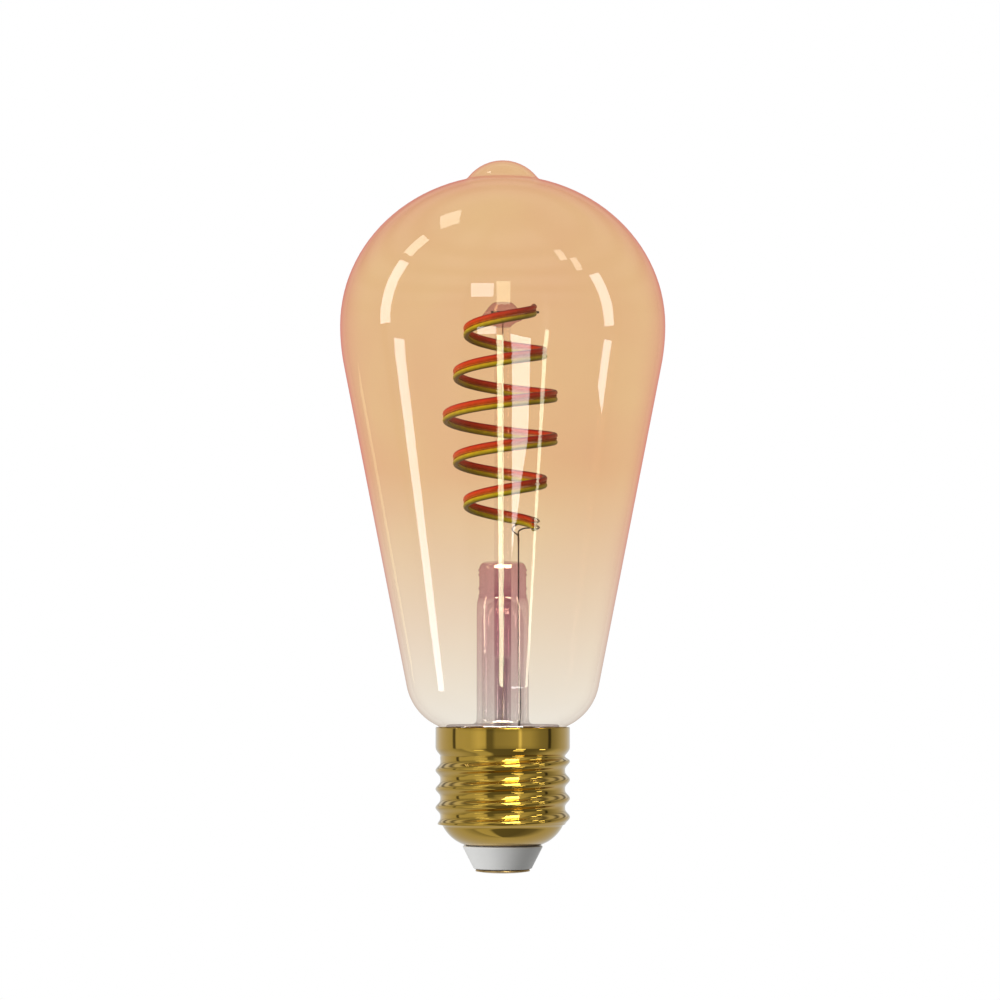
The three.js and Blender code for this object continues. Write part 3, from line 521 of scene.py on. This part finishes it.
# how much of the tint each piece of the stem carries; the press and the foot add to the tube's share
stemDepth = {"tube": 0.55, "press": 0.3, "foot": 0.45, "inside": 0.2, "rodFoot": 0.9, "rod": 0.08,
             "melted": 0.8}
flarePoints = flareOutline()
flareDepths = []
for flareRadius, flareHeight in flarePoints:
    inPress = smooth(flareHeight, stem["top"] - stem["pressHeight"] - 1.5, stem["top"] - stem["pressHeight"])
    inFoot = 1 - smooth(flareHeight, stem["low"] + stem["foot"], stem["low"] + stem["foot"] + 0.4)
    onOutside = flareRadius > stem["tube"] - stem["wall"] + 0.01
    flareDepths.append(stemDepth["tube"] + stemDepth["press"] * inPress + stemDepth["foot"] * inFoot
                       if onOutside else stemDepth["inside"])
finishPiece("stem_flare_tube", spinOutline(flarePoints, stem["steps"], depths=flareDepths), stemGlass,
            ["stem_flare"], sharp=40)

rodLow, rodHigh = low("stem_rod"), high("stem_rod")
rodOutline = [(0, rodLow), (stem["rod"] - 0.25, rodLow)]
rodOutline += arc((stem["rod"] - 0.25, rodLow + 0.25), 0.25, -math.pi / 2, 0, 4)
rodOutline += [(stem["rod"], stem["top"] - stem["pressHeight"]), (stem["rod"], stem["top"]),
               (stem["rod"], rodHigh - 0.02), (0, rodHigh)]
rodDepths = [stemDepth["rodFoot"]] * (len(rodOutline) - 3) + [stemDepth["rod"]] * 3
finishPiece("stem_glass_rod", spinOutline(rodOutline, 40, depths=rodDepths), stemGlass,
            ["stem_rod"], sharp=40)

button = {"top": high("stem_button"), "low": low("stem_button"), "rim": reach("stem_button"), "face": 1.93}
rimAt = button["top"] - 2.8
buttonOutline = [(0, button["low"]), (stem["rod"], button["low"]), (stem["rod"] + 0.15, button["low"] + 0.25),
                 (button["rim"] * 0.66, rimAt - 1.0), (button["rim"] * 0.9, rimAt - 0.62)]
buttonOutline += arc((button["rim"] - 0.5, rimAt), 0.5, -math.pi / 3, math.pi / 4, 6)
buttonOutline += [(button["face"] + 0.75, button["top"] - 0.72),
                  (button["face"] + 0.12, button["top"] - 0.12),
                  (button["face"] - 0.12, button["top"]), (0, button["top"])]
buttonDepths = [stemDepth["melted"]] * len(buttonOutline)
finishPiece("stem_glass_button", spinOutline(buttonOutline, 48, depths=buttonDepths), stemGlass,
            ["stem_button"], sharp=40)

tip, tubeTop = low("exhaust_tube"), high("exhaust_tube")
exhaustOutline = [(0, tip), (0.45, tip + 0.1), (0.95, tip + 0.45), (1.4, tip + 1.1),
                  (stem["exhaust"], tip + 2), (stem["exhaust"], tubeTop - 0.1),
                  (stem["exhaust"] - 0.1, tubeTop), (stem["bore"] + 0.1, tubeTop),
                   (stem["bore"], tubeTop - 0.1), (stem["bore"], tip + 2.8), (0.5, tip + 2.1), (0, tip + 1.8)]
exhaustDepths = [stemDepth["melted"]] * len(exhaustOutline)
finishPiece("exhaust_glass_tube", spinOutline(exhaustOutline, 32, depths=exhaustDepths), stemGlass,
            ["exhaust_tube"], sharp=40)
print("stem done")


# the filament: two phosphor cords wound on one strip
coil = {"turns": 5, "pitch": 8.48, "waist": 11.29, "end": 6.19, "overrun": math.radians(10), "cord": 1.1,
        "lift": 0.65, "stepsPerTurn": 56, "sides": 16, "carrier": (0.9, 0.12)}
coil["bottom"] = (low("filament_carrier") + high("filament_carrier")) / 2 - coil["pitch"] * coil["turns"] / 2


def coilRadius(angle):
    slope = (coil["waist"] - coil["end"]) / (coil["turns"] / 2)
    return coil["waist"] - slope * abs(angle / (2 * math.pi) - coil["turns"] / 2)


def coilUp(mesh):
    # a straight piece lies along X, from 0 to 1, and X becomes the turning angle of the coil
    span = 2 * math.pi * coil["turns"] + 2 * coil["overrun"]
    for vert in mesh.verts:
        angle = vert.co.x * span - coil["overrun"]
        radius = coilRadius(angle) - vert.co.y
        height = coil["bottom"] + coil["pitch"] * angle / (2 * math.pi) + vert.co.z
        vert.co = Vector((radius * math.cos(angle), radius * math.sin(angle), height)) * mm
    bmesh.ops.recalc_face_normals(mesh, faces=mesh.faces)
    return mesh


def straightPiece(section, endRound):
    # sweeps a section along X and rounds both its ends
    mesh = bmesh.new()
    rise = mesh.verts.layers.float.new("rise")
    if section == "round":
        bmesh.ops.create_circle(mesh, segments=coil["sides"], radius=coil["cord"] / 2,
                                matrix=Matrix.Rotation(math.pi / 2, 4, "Y"))
    else:
        width, thickness = coil["carrier"]
        corners = [mesh.verts.new((0, y * width / 2, z * thickness / 2)) for y, z in
                   ((-1, -1), (1, -1), (1, 1), (-1, 1))]
        for pair in zip(corners, corners[1:] + corners[:1]):
            mesh.edges.new(pair)
    total = int(coil["turns"] * coil["stepsPerTurn"])
    length = 2 * math.pi * coil["turns"] * coil["end"]
    rounding = [math.sin(math.pi / 2 * i / 5) for i in range(1, 6)] if endRound else [1]
    ringAt = [(1 - math.sqrt(1 - r ** 2)) * coil["cord"] / 2 / length for r in rounding] if endRound else [0]
    stops = ringAt + [ringAt[-1] + (1 - 2 * ringAt[-1]) * i / total for i in range(1, total)]
    stops += [1 - x for x in ringAt[::-1]]
    sizes = rounding + [1] * (total - 1) + rounding[::-1]
    edges = list(mesh.edges)
    verts = list(mesh.verts)
    bmesh.ops.scale(mesh, vec=(1, sizes[0], sizes[0]), verts=verts)
    bmesh.ops.translate(mesh, vec=(stops[0], 0, 0), verts=verts)
    first = edges
    for before, after, sizeBefore, size in zip(stops, stops[1:], sizes, sizes[1:]):
        made = bmesh.ops.extrude_edge_only(mesh, edges=edges)["geom"]
        verts = [item for item in made if isinstance(item, bmesh.types.BMVert)]
        edges = [item for item in made if isinstance(item, bmesh.types.BMEdge)
                 and all(vert in verts for vert in item.verts)]
        bmesh.ops.translate(mesh, vec=(after - before, 0, 0), verts=verts)
        if size != sizeBefore:
            bmesh.ops.scale(mesh, vec=(1, size / sizeBefore, size / sizeBefore), verts=verts)
    for loop in (first, edges):
        bmesh.ops.contextual_create(mesh, geom=loop)
    for vert in mesh.verts:
        vert[rise] = vert.co.z / (coil["cord"] / 2)
    return mesh


def liftPiece(mesh, lift):
    bmesh.ops.translate(mesh, vec=(0, 0, lift), verts=mesh.verts)
    return mesh


warmCord = liftPiece(straightPiece("round", True), coil["lift"])
finishPiece("filament_cord_warm", coilUp(warmCord), warmPhosphor, ["filament_warm_cord"],
            sharp=60)
coolCord = liftPiece(straightPiece("round", True), -coil["lift"])
finishPiece("filament_cord_cool", coilUp(coolCord), coolPhosphor, ["filament_cool_cord"],
            sharp=60)
finishPiece("filament_strip", coilUp(straightPiece("flat", False)), carrierStrip,
            ["filament_carrier"], sharp=40)
print("filament done")


# terminals and leads
tabBevel = 0.06


def tabPiece(name, node):
    lowCorner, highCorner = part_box(node)
    mesh = bmesh.new()
    bmesh.ops.create_cube(mesh, size=1)
    bmesh.ops.scale(mesh, vec=highCorner - lowCorner, verts=mesh.verts)
    bmesh.ops.translate(mesh, vec=(highCorner + lowCorner) / 2, verts=mesh.verts)
    bmesh.ops.bevel(mesh, geom=mesh.edges, offset=tabBevel * mm, affect="EDGES", segments=3, profile=0.5,
                    material=-1)
    return finishPiece(name, mesh, nickelWire, [node], sharp=40)


for tabName, tabNode in (("terminal_tab_top", "terminal_top"), ("terminal_tab_warm", "terminal_warm"),
                         ("terminal_tab_cool", "terminal_cool")):
    tabPiece(tabName, tabNode)

supportLow, supportHigh = [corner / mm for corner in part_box("top_support_wire")]
supportY = (supportLow.y + supportHigh.y) / 2
supportZ = (supportLow.z + supportHigh.z) / 2
wirePiece("support_wire", [(supportLow.x, supportY, supportZ), (supportHigh.x, supportY, supportZ)], 0.5,
          nickelWire, ["top_support_wire"], curved=False)

leads = {"diameter": 0.3, "offset": 3.1, "common": stem["rod"] + 0.5, "foot": 18.4, "rise": 22.4}
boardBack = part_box("driver_board")[1].y / mm
leadStart = boardBack + 0.25


def nearCoil(degrees, out, lift):
    # a place beside the coil: degrees round it, out from the strand's middle, up from it
    angle = math.radians(degrees)
    radius = coilRadius(angle) + out
    return (radius * math.cos(angle), radius * math.sin(angle),
            coil["bottom"] + coil["pitch"] * degrees / 360 + lift)


for leadName, leadNode, tabNode, leadY, footX, crossing, lift in (
        ("lead_warm", "warm_lead", "terminal_warm", 1.1, 1.8, 72, coil["lift"]),
        ("lead_cool", "cool_lead", "terminal_cool", -0.2, 2.7, 54, -coil["lift"])):
    tabLow, tabHigh = [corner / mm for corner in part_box(tabNode)]
    tabZ = (tabLow.z + tabHigh.z) / 2
    tabX = tabHigh.x + 0.25
    below = -coil["lift"] - coil["cord"] / 2 - 0.65
    beside = coil["cord"] / 2 + leads["diameter"] / 2 + 0.3
    route = [(footX, leadStart, leads["foot"]),
             (footX, leadStart + 0.3 * (leadY - leadStart), leads["rise"]),
             (leads["offset"], leadY, capRim - 1.5), (leads["offset"], leadY, 44),
             (leads["offset"], leadY, stem["top"] - 8.8), (leads["offset"], leadY, stem["top"] + 0.6),
             (leads["offset"], leadY, coil["bottom"] - 4.2),
             (leads["offset"], leadY + 0.35 * coil["end"], coil["bottom"] - 2.2),
             nearCoil(crossing, 0, below), nearCoil(crossing - 14, beside + 0.1, (below + lift) / 2),
             nearCoil(crossing - 30, beside, lift), nearCoil(8, beside, lift),
             (tabX + 0.12, tabHigh.y - 0.1, tabZ), (tabX, tabHigh.y - 1.36, tabZ)]
    wirePiece(leadName, route, leads["diameter"], nickelWire, [leadNode])
commonTop = high("common_lead")
commonRoute = [(-2.2, leadStart, leads["foot"]),
               (-2.2, leadStart + 0.6 * (leads["common"] - leadStart), leads["rise"]),
               (-0.4, leads["common"], 27.6), (0, leads["common"], 34), (0, leads["common"], 60),
               (0, leads["common"], commonTop)]
wirePiece("lead_common", commonRoute, leads["diameter"], coatedWire, ["common_lead"])
print("leads done")


# the cap: screw shell, insulator and contact
cap = {"wall": 0.25, "pitch": 3.629, "depth": 0.95, "runOut": 0.9, "skirt": 4.2, "flare": 1.4, "bowl": 3.9,
       "bowlCurve": 7.3, "bowlStep": 0.4, "mouth": 7.2, "crest": 1.5, "steps": 144, "rows": 84}
cap["radius"] = reach("cap_shell")
cap["bottom"] = low("cap_shell")
cap["root"] = cap["radius"] - cap["depth"]
cap["bowlTop"] = cap["bottom"] + cap["bowl"]
cap["threadTop"] = capRim - cap["skirt"] - cap["flare"]


def threadRise(angle, height):
    wave = 0.5 + 0.5 * math.cos(2 * math.pi * (height / cap["pitch"] - angle / (2 * math.pi)))
    fadeIn = smooth(height, cap["bowlTop"] - cap["runOut"], cap["bowlTop"] + cap["runOut"])
    fadeOut = 1 - smooth(height, cap["threadTop"] - cap["runOut"], cap["threadTop"])
    return wave ** cap["crest"] * fadeIn * fadeOut


# the bowl is one shallow arc from the mouth up to the thread
mouthAt = Vector((cap["mouth"], cap["bottom"]))
bowlEdge = Vector((cap["root"] - cap["bowlStep"], cap["bowlTop"]))
chord = bowlEdge - mouthAt
away = math.sqrt(cap["bowlCurve"] ** 2 - chord.length_squared / 4)
bowlAt = (mouthAt + bowlEdge) / 2 + Vector((-chord.y, chord.x)).normalized() * away
mouthTurn = math.atan2(*(mouthAt - bowlAt).yx)
edgeTurn = math.atan2(*(bowlEdge - bowlAt).yx)
shellOutline = arc(bowlAt, cap["bowlCurve"], mouthTurn, edgeTurn, 14)
shellOutline += [(cap["root"], cap["bowlTop"] + (cap["threadTop"] - cap["bowlTop"]) * i / cap["rows"])
                 for i in range(1, cap["rows"] + 1)]
shellOutline += [(cap["root"] + 0.12, cap["threadTop"] + 0.2), (cap["root"] + 0.62, cap["threadTop"] + 0.8),
                 (cap["radius"] - 0.08, capRim - cap["skirt"] - 0.15),
                 (cap["radius"], capRim - cap["skirt"] + 0.25),
                 (cap["radius"], capRim - 0.2), (cap["radius"] - 0.04, capRim)]
shellMesh = spinOutline(shellOutline, cap["steps"])
for vert in shellMesh.verts:
    height = vert.co.z / mm
    if cap["bowlTop"] < height < cap["threadTop"]:
        radius = math.hypot(vert.co.x, vert.co.y)
        grow = 1 + cap["depth"] * mm * threadRise(math.atan2(vert.co.y, vert.co.x), height) / radius
        vert.co.x *= grow
        vert.co.y *= grow
shell = finishPiece("screw_shell", shellMesh, goldShell, ["cap_shell"])
wall = shell.modifiers.new("sheet", "SOLIDIFY")
wall.thickness = cap["wall"] * mm
wall.offset = -1

insulator = {"tip": 5.8, "top": 7.8, "chamfer": 0.4, "plug": 6.5, "bore": 1.8}
insLow, insHigh = low("cap_insulator"), high("cap_insulator")
ledge = cap["bottom"] - 0.1
insulatorOutline = [(insulator["bore"], insLow), (insulator["tip"] - insulator["chamfer"] - 0.1, insLow)]
insulatorOutline += arc((insulator["tip"] - insulator["chamfer"], insLow + insulator["chamfer"]),
                        insulator["chamfer"], -math.pi / 2, -0.2, 6)
insulatorOutline += [(insulator["top"] - 0.02, ledge - 0.3), (insulator["top"], ledge - 0.2),
                     (insulator["top"] - 0.06, ledge - 0.06), (insulator["top"] - 0.2, ledge),
                     (insulator["plug"], ledge), (insulator["plug"], insHigh - 0.3),
                     (insulator["plug"] - 0.3, insHigh), (insulator["bore"], insHigh)]
finishPiece("insulator_cone", spinOutline(insulatorOutline, 96, closed=True), insulatorWhite,
            ["cap_insulator"], sharp=50)

contact = {"flat": 1.6, "edge": 5.3, "height": 0.7, "wall": 0.35, "eyelet": 1.7,
           "eyeletTop": high("centre_contact")}
domeRise = contact["height"] - contact["wall"]
contactOutline = [(0, 0)] + [
    (contact["flat"] + (contact["edge"] - contact["flat"]) * i / 12, domeRise * (i / 12) ** 2)
    for i in range(13)]
contactOutline += arc((contact["edge"] - 0.17, contact["height"] - 0.17), 0.17, 0, math.pi / 2, 4)
contactOutline += [(contact["eyelet"], contact["height"]), (contact["eyelet"], contact["eyeletTop"]),
                   (contact["eyelet"] - contact["wall"], contact["eyeletTop"]),
                   (contact["eyelet"] - contact["wall"], contact["wall"]), (0, contact["wall"])]
finishPiece("contact_disc", spinOutline(contactOutline, 72), contactBrass,
            ["centre_contact"], sharp=40)

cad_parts["cap_cement"].data.materials.clear()
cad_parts["cap_cement"].data.materials.append(greyCement)
for innerName, innerLook in innerLooks.items():
    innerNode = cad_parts[innerName]
    innerNode.data.materials.clear()
    innerNode.data.materials.append(solidFinish(innerName + "_finish", innerLook))
print("cap and inside done")


# the studio: most lamps light only one set of pieces
glassSet = bpy.data.collections.new("glass_set")
for glassName in ("envelope_glass", "stem_flare_tube", "stem_glass_rod", "stem_glass_button",
                  "exhaust_glass_tube"):
    glassSet.objects.link(bpy.data.objects[glassName])

metalSet = bpy.data.collections.new("metal_set")
for metalName in ("screw_shell", "contact_disc"):
    metalSet.objects.link(bpy.data.objects[metalName])

stemSet = bpy.data.collections.new("stem_set")
stemSet.objects.link(bpy.data.objects["stem_flare_tube"])
floorSet = bpy.data.collections.new("floor_set")

studio = {"floorAt": -0.30, "floorSize": 2.2, "floorColour": (0.86, 0.86, 0.85)}
floorMesh = bmesh.new()
bmesh.ops.create_circle(floorMesh, cap_ends=True, segments=96, radius=studio["floorSize"],
                        matrix=Matrix.Translation((0, 0, studio["floorAt"])))
floorData = bpy.data.meshes.new("floor")
floorMesh.to_mesh(floorData)
floorMesh.free()
floor = bpy.data.objects.new("floor", floorData)
bpy.context.scene.collection.objects.link(floor)
floorFinish = solidFinish("floor_paint", {"colour": studio["floorColour"], "second": (0.84, 0.84, 0.83),
                                          "toneScale": 3, "roughness": (0.85, 0.95), "grainScale": 60,
                                          "bump": 0.05, "bumpDepth": 0.0004})
floorData.materials.append(floorFinish)
floor.visible_glossy = False
floor.visible_diffuse = False
floorSet.objects.link(floor)


def aimed(azimuth, elevation, distance):
    # a place seen from the bulb, azimuth 0 on the camera's side and positive to the right
    side, rise = math.radians(azimuth), math.radians(elevation)
    flat = Vector((math.sin(side), -math.cos(side), 0)) * math.cos(rise)
    return Vector((0, 0, middle.z)) + (flat + up * math.sin(rise)) * distance


def softBox(name, azimuth, elevation, width, height, radiance, colour=(1, 1, 1), lean=0, distance=1.2,
            receivers=glassSet):
    # a soft box, its size given as the angles it covers, that faces the bulb and lights one set of pieces
    data = bpy.data.lights.new(name, "AREA")
    data.shape = "RECTANGLE"
    data.size = 2 * distance * math.tan(math.radians(width / 2))
    data.size_y = 2 * distance * math.tan(math.radians(height / 2))
    data.energy = radiance * math.pi * data.size * data.size_y
    data.color = colour
    lamp = bpy.data.objects.new(name, data)
    lamp.location = aimed(azimuth, elevation, distance)
    facing = (Vector((0, 0, middle.z)) - lamp.location).to_track_quat("-Z", "Y")
    lamp.rotation_euler = (facing.to_matrix() @ Matrix.Rotation(math.radians(lean), 3, "Z")).to_euler()
    lamp.visible_camera = False
    bpy.context.scene.collection.objects.link(lamp)
    if receivers:
        lamp.light_linking.receiver_collection = receivers
    else:
        lamp.visible_glossy = False
    return lamp


# the long upright boxes whose mirror images run down the glass
softBox("strip_left", -80, -14.5, 9, 23, 12, (1, 0.92, 0.95), lean=-14)
softBox("strip_back_left", -131, -6.4, 5, 9, 2.2, (1, 1, 0.5))
softBox("strip_centre", -1.8, -16, 4.6, 19, 21, (1, 0.99, 0.62))
softBox("strip_right", 30, -14.5, 2.8, 23, 14, (1, 0.97, 0.7), lean=-4)
# window panes high on both sides
softBox("pane_left", -89.5, 21, 10, 34, 12, (1, 0.94, 0.92))
softBox("pane_left_upper", -92, 48, 9, 12, 9, (1, 0.97, 0.8))
softBox("pane_left_top", -105, 67, 14, 9, 7, (1, 0.97, 0.8))
softBox("pane_right", 77, 17, 9, 30, 12, (1, 0.93, 0.93), lean=8)
softBox("pane_right_low", 79, -7.2, 7, 7, 12, (1, 0.92, 0.95))
softBox("pane_low", 17, -26.8, 12, 2.2, 16)
softBox("pane_right_upper", 63.5, 40, 5, 9, 7, (1, 0.97, 0.8))
softBox("pane_right_top", 54, 48, 5, 8, 7, (1, 0.97, 0.8))
softBox("pane_front", -14.5, 22, 15, 11, 9)
softBox("pane_front_low", -11, -4, 13, 4, 9)
softBox("pane_front_yellow", 0.5, 20, 9, 18, 7, (1, 0.95, 0.6))
# a high box that glints on the stem's press rings
softBox("pane_stem", 0, 50, 70, 34, 60, receivers=stemSet)

# one more box, with a flag along its left side and one under it, so that it runs out to a point low down
pane = softBox("pane_centre", 12, -13.4, 15, 16, 13, (1, 0.93, 0.9))
pane.data.use_nodes = True
paneTree = pane.data.node_tree
panePlace = paneTree.nodes.new("ShaderNodeNewGeometry")
paneParts = paneTree.nodes.new("ShaderNodeSeparateXYZ")
paneTree.links.new(panePlace.outputs["Parametric"], paneParts.inputs[0])


def flag(first, second, slope, offset, keep):
    # a straight edge: light passes where the first axis is more, or less, than slope * the second + offset
    edge = paneTree.nodes.new("ShaderNodeMath")
    edge.operation = "MULTIPLY_ADD"
    paneTree.links.new(paneParts.outputs[second], edge.inputs[0])
    edge.inputs[1].default_value = slope
    edge.inputs[2].default_value = offset
    test = paneTree.nodes.new("ShaderNodeMath")
    test.operation = keep
    paneTree.links.new(paneParts.outputs[first], test.inputs[0])
    paneTree.links.new(edge.outputs[0], test.inputs[1])
    return test.outputs[0]


flags = [flag("X", "Y", -0.22, 0.25, "GREATER_THAN"), flag("Y", "X", 0.347, -0.058, "GREATER_THAN"),
         flag("Y", "X", -0.146, 0.985, "LESS_THAN")]
lit = flags[0]
for shade in flags[1:]:
    both = paneTree.nodes.new("ShaderNodeMath")
    both.operation = "MULTIPLY"
    paneTree.links.new(lit, both.inputs[0])
    paneTree.links.new(shade, both.inputs[1])
    lit = both.outputs[0]
paneTree.links.new(lit, paneTree.nodes["Emission"].inputs["Strength"])

# stacks of narrow boxes that the polished cap shows as short bright dashes on every thread
for stackName, stackAzimuth, stackWidth, levels in (
        ("stack_front", 17, 24, ((62, 9), (46, 14), (31, 18), (17, 13))),
        ("stack_low", 32, 16, ((-24, 5), (-44, 4))),
        ("stack_right", 76, 11, ((50, 4), (30, 7), (-26, 4))),
        ("stack_left", -47, 16, ((48, 1.6), (26, 1.6), (-38, 1.2)))):
    for level, radiance in levels:
        softBox("%s_%d" % (stackName, level), stackAzimuth, level, stackWidth, 4.5, radiance, (1, 0.98, 0.86),
                receivers=metalSet)

# soft light for everything, seen in no mirror
softBox("key_left", -55, 10, 30, 34, 6.6, receivers=None)
softBox("top_soft", -20, 75, 50, 50, 0.7, receivers=None)
softBox("floor_soft", 0, 82, 70, 70, 1.6, receivers=floorSet)

# the room is white to the eye; in mirrors it has the pale bands and dark gaps of a studio
world = bpy.data.worlds.new("room")
world.use_nodes = True
roomTree = world.node_tree
roomTree.nodes.clear()


def roomNode(kind, operation=None, first=None, second=None):
    node = roomTree.nodes.new(kind)
    if operation:
        node.operation = operation
    for socket, value in zip(node.inputs, (first, second)):
        if isinstance(value, (int, float)):
            socket.default_value = value
        elif value:
            roomTree.links.new(value, socket)
    return node


def roomBand(turn, stops):
    # grey levels round the horizon, at azimuths in degrees
    ramp = roomNode("ShaderNodeValToRGB", first=turn)
    ramp.color_ramp.interpolation = "LINEAR"
    elements = ramp.color_ramp.elements
    while len(elements) < len(stops):
        elements.new(0.5)
    for element, (azimuth, level) in zip(elements, stops):
        element.position = (azimuth + 180) / 360
        element.color = (level, level, level * 0.98, 1)
    return ramp.outputs["Color"]


direction = roomNode("ShaderNodeTexCoord").outputs["Generated"]
parts = roomNode("ShaderNodeSeparateXYZ", first=direction)
away = roomNode("ShaderNodeMath", "MULTIPLY", parts.outputs["Y"], -1.0).outputs[0]
angle = roomNode("ShaderNodeMath", "ARCTAN2", parts.outputs["X"], away).outputs[0]
turn = roomNode("ShaderNodeMath", "MULTIPLY_ADD", angle, 1 / (2 * math.pi))
turn.inputs[2].default_value = 0.5
turn = turn.outputs[0]
levelBand = roomBand(turn, [(-180, 0.66), (-139, 0.65), (-97, 0.48), (-94, 0.1), (-90, 0.1), (-87, 0.54),
                            (-58, 0.52), (-42, 0.72), (-30, 0.62), (-27, 0.16), (-18, 0.16), (-12, 0.34),
                            (12, 0.40), (26, 0.46), (29, 1.0), (31, 1.0), (34, 0.5), (48, 0.46), (68, 0.27),
                            (83, 0.22), (86, 0.05), (90, 0.05), (93, 0.24), (120, 0.46), (150, 0.6),
                            (180, 0.66)])
upperBand = roomBand(turn, [(-180, 0.7), (-110, 0.6), (-85, 0.45), (-60, 0.5), (-48, 0.8), (-35, 0.75),
                            (-22, 0.42), (-4, 0.8), (42, 0.85), (58, 0.34), (88, 0.28), (110, 0.5),
                            (180, 0.7)])
lowerBand = roomBand(turn, [(-180, 0.55), (-110, 0.5), (-80, 0.3), (-70, 0.55), (-42, 0.5), (-30, 0.14),
                            (60, 0.13), (90, 0.2), (115, 0.5), (180, 0.55)])


def roomBlend(factor, first, second):
    node = roomNode("ShaderNodeMixRGB")
    roomTree.links.new(factor, node.inputs[0])
    if isinstance(first, tuple):
        node.inputs[1].default_value = first
    else:
        roomTree.links.new(first, node.inputs[1])
    roomTree.links.new(second, node.inputs[2])
    return node.outputs[0]


def roomFade(start, end):
    fade = roomNode("ShaderNodeMapRange", first=parts.outputs["Z"])
    fade.inputs["From Min"].default_value = math.sin(math.radians(start))
    fade.inputs["From Max"].default_value = math.sin(math.radians(end))
    return fade.outputs[0]


tent = roomBlend(roomFade(8, 22), levelBand, upperBand)
tent = roomBlend(roomFade(-8, -20), tent, lowerBand)
# rows of panels, so the thread shows fine lines
rows = roomNode("ShaderNodeMath", "MULTIPLY", parts.outputs["Z"], 30.0).outputs[0]
rows = roomNode("ShaderNodeMath", "SINE", rows).outputs[0]
rows = roomNode("ShaderNodeMath", "MULTIPLY_ADD", rows, 0.42)
rows.inputs[2].default_value = 0.72
tent = roomBlend(roomFade(6, 14), tent, roomBlend(rows.outputs[0], (0, 0, 0, 1), tent))
dim = roomNode("ShaderNodeBackground")
roomTree.links.new(tent, dim.inputs["Color"])
white = roomNode("ShaderNodeBackground")
white.inputs["Color"].default_value = (1, 1, 1, 1)
paths = roomNode("ShaderNodeLightPath")
roomMix = roomNode("ShaderNodeMixShader")
roomTree.links.new(paths.outputs["Is Camera Ray"], roomMix.inputs["Fac"])
roomTree.links.new(dim.outputs["Background"], roomMix.inputs[1])
roomTree.links.new(white.outputs["Background"], roomMix.inputs[2])
roomOut = roomNode("ShaderNodeOutputWorld")
roomTree.links.new(roomMix.outputs["Shader"], roomOut.inputs["Surface"])
bpy.context.scene.world = world
bpy.context.scene.view_settings.view_transform = "Standard"
bpy.context.scene.cycles.transparent_max_bounces = 32
print("studio done")
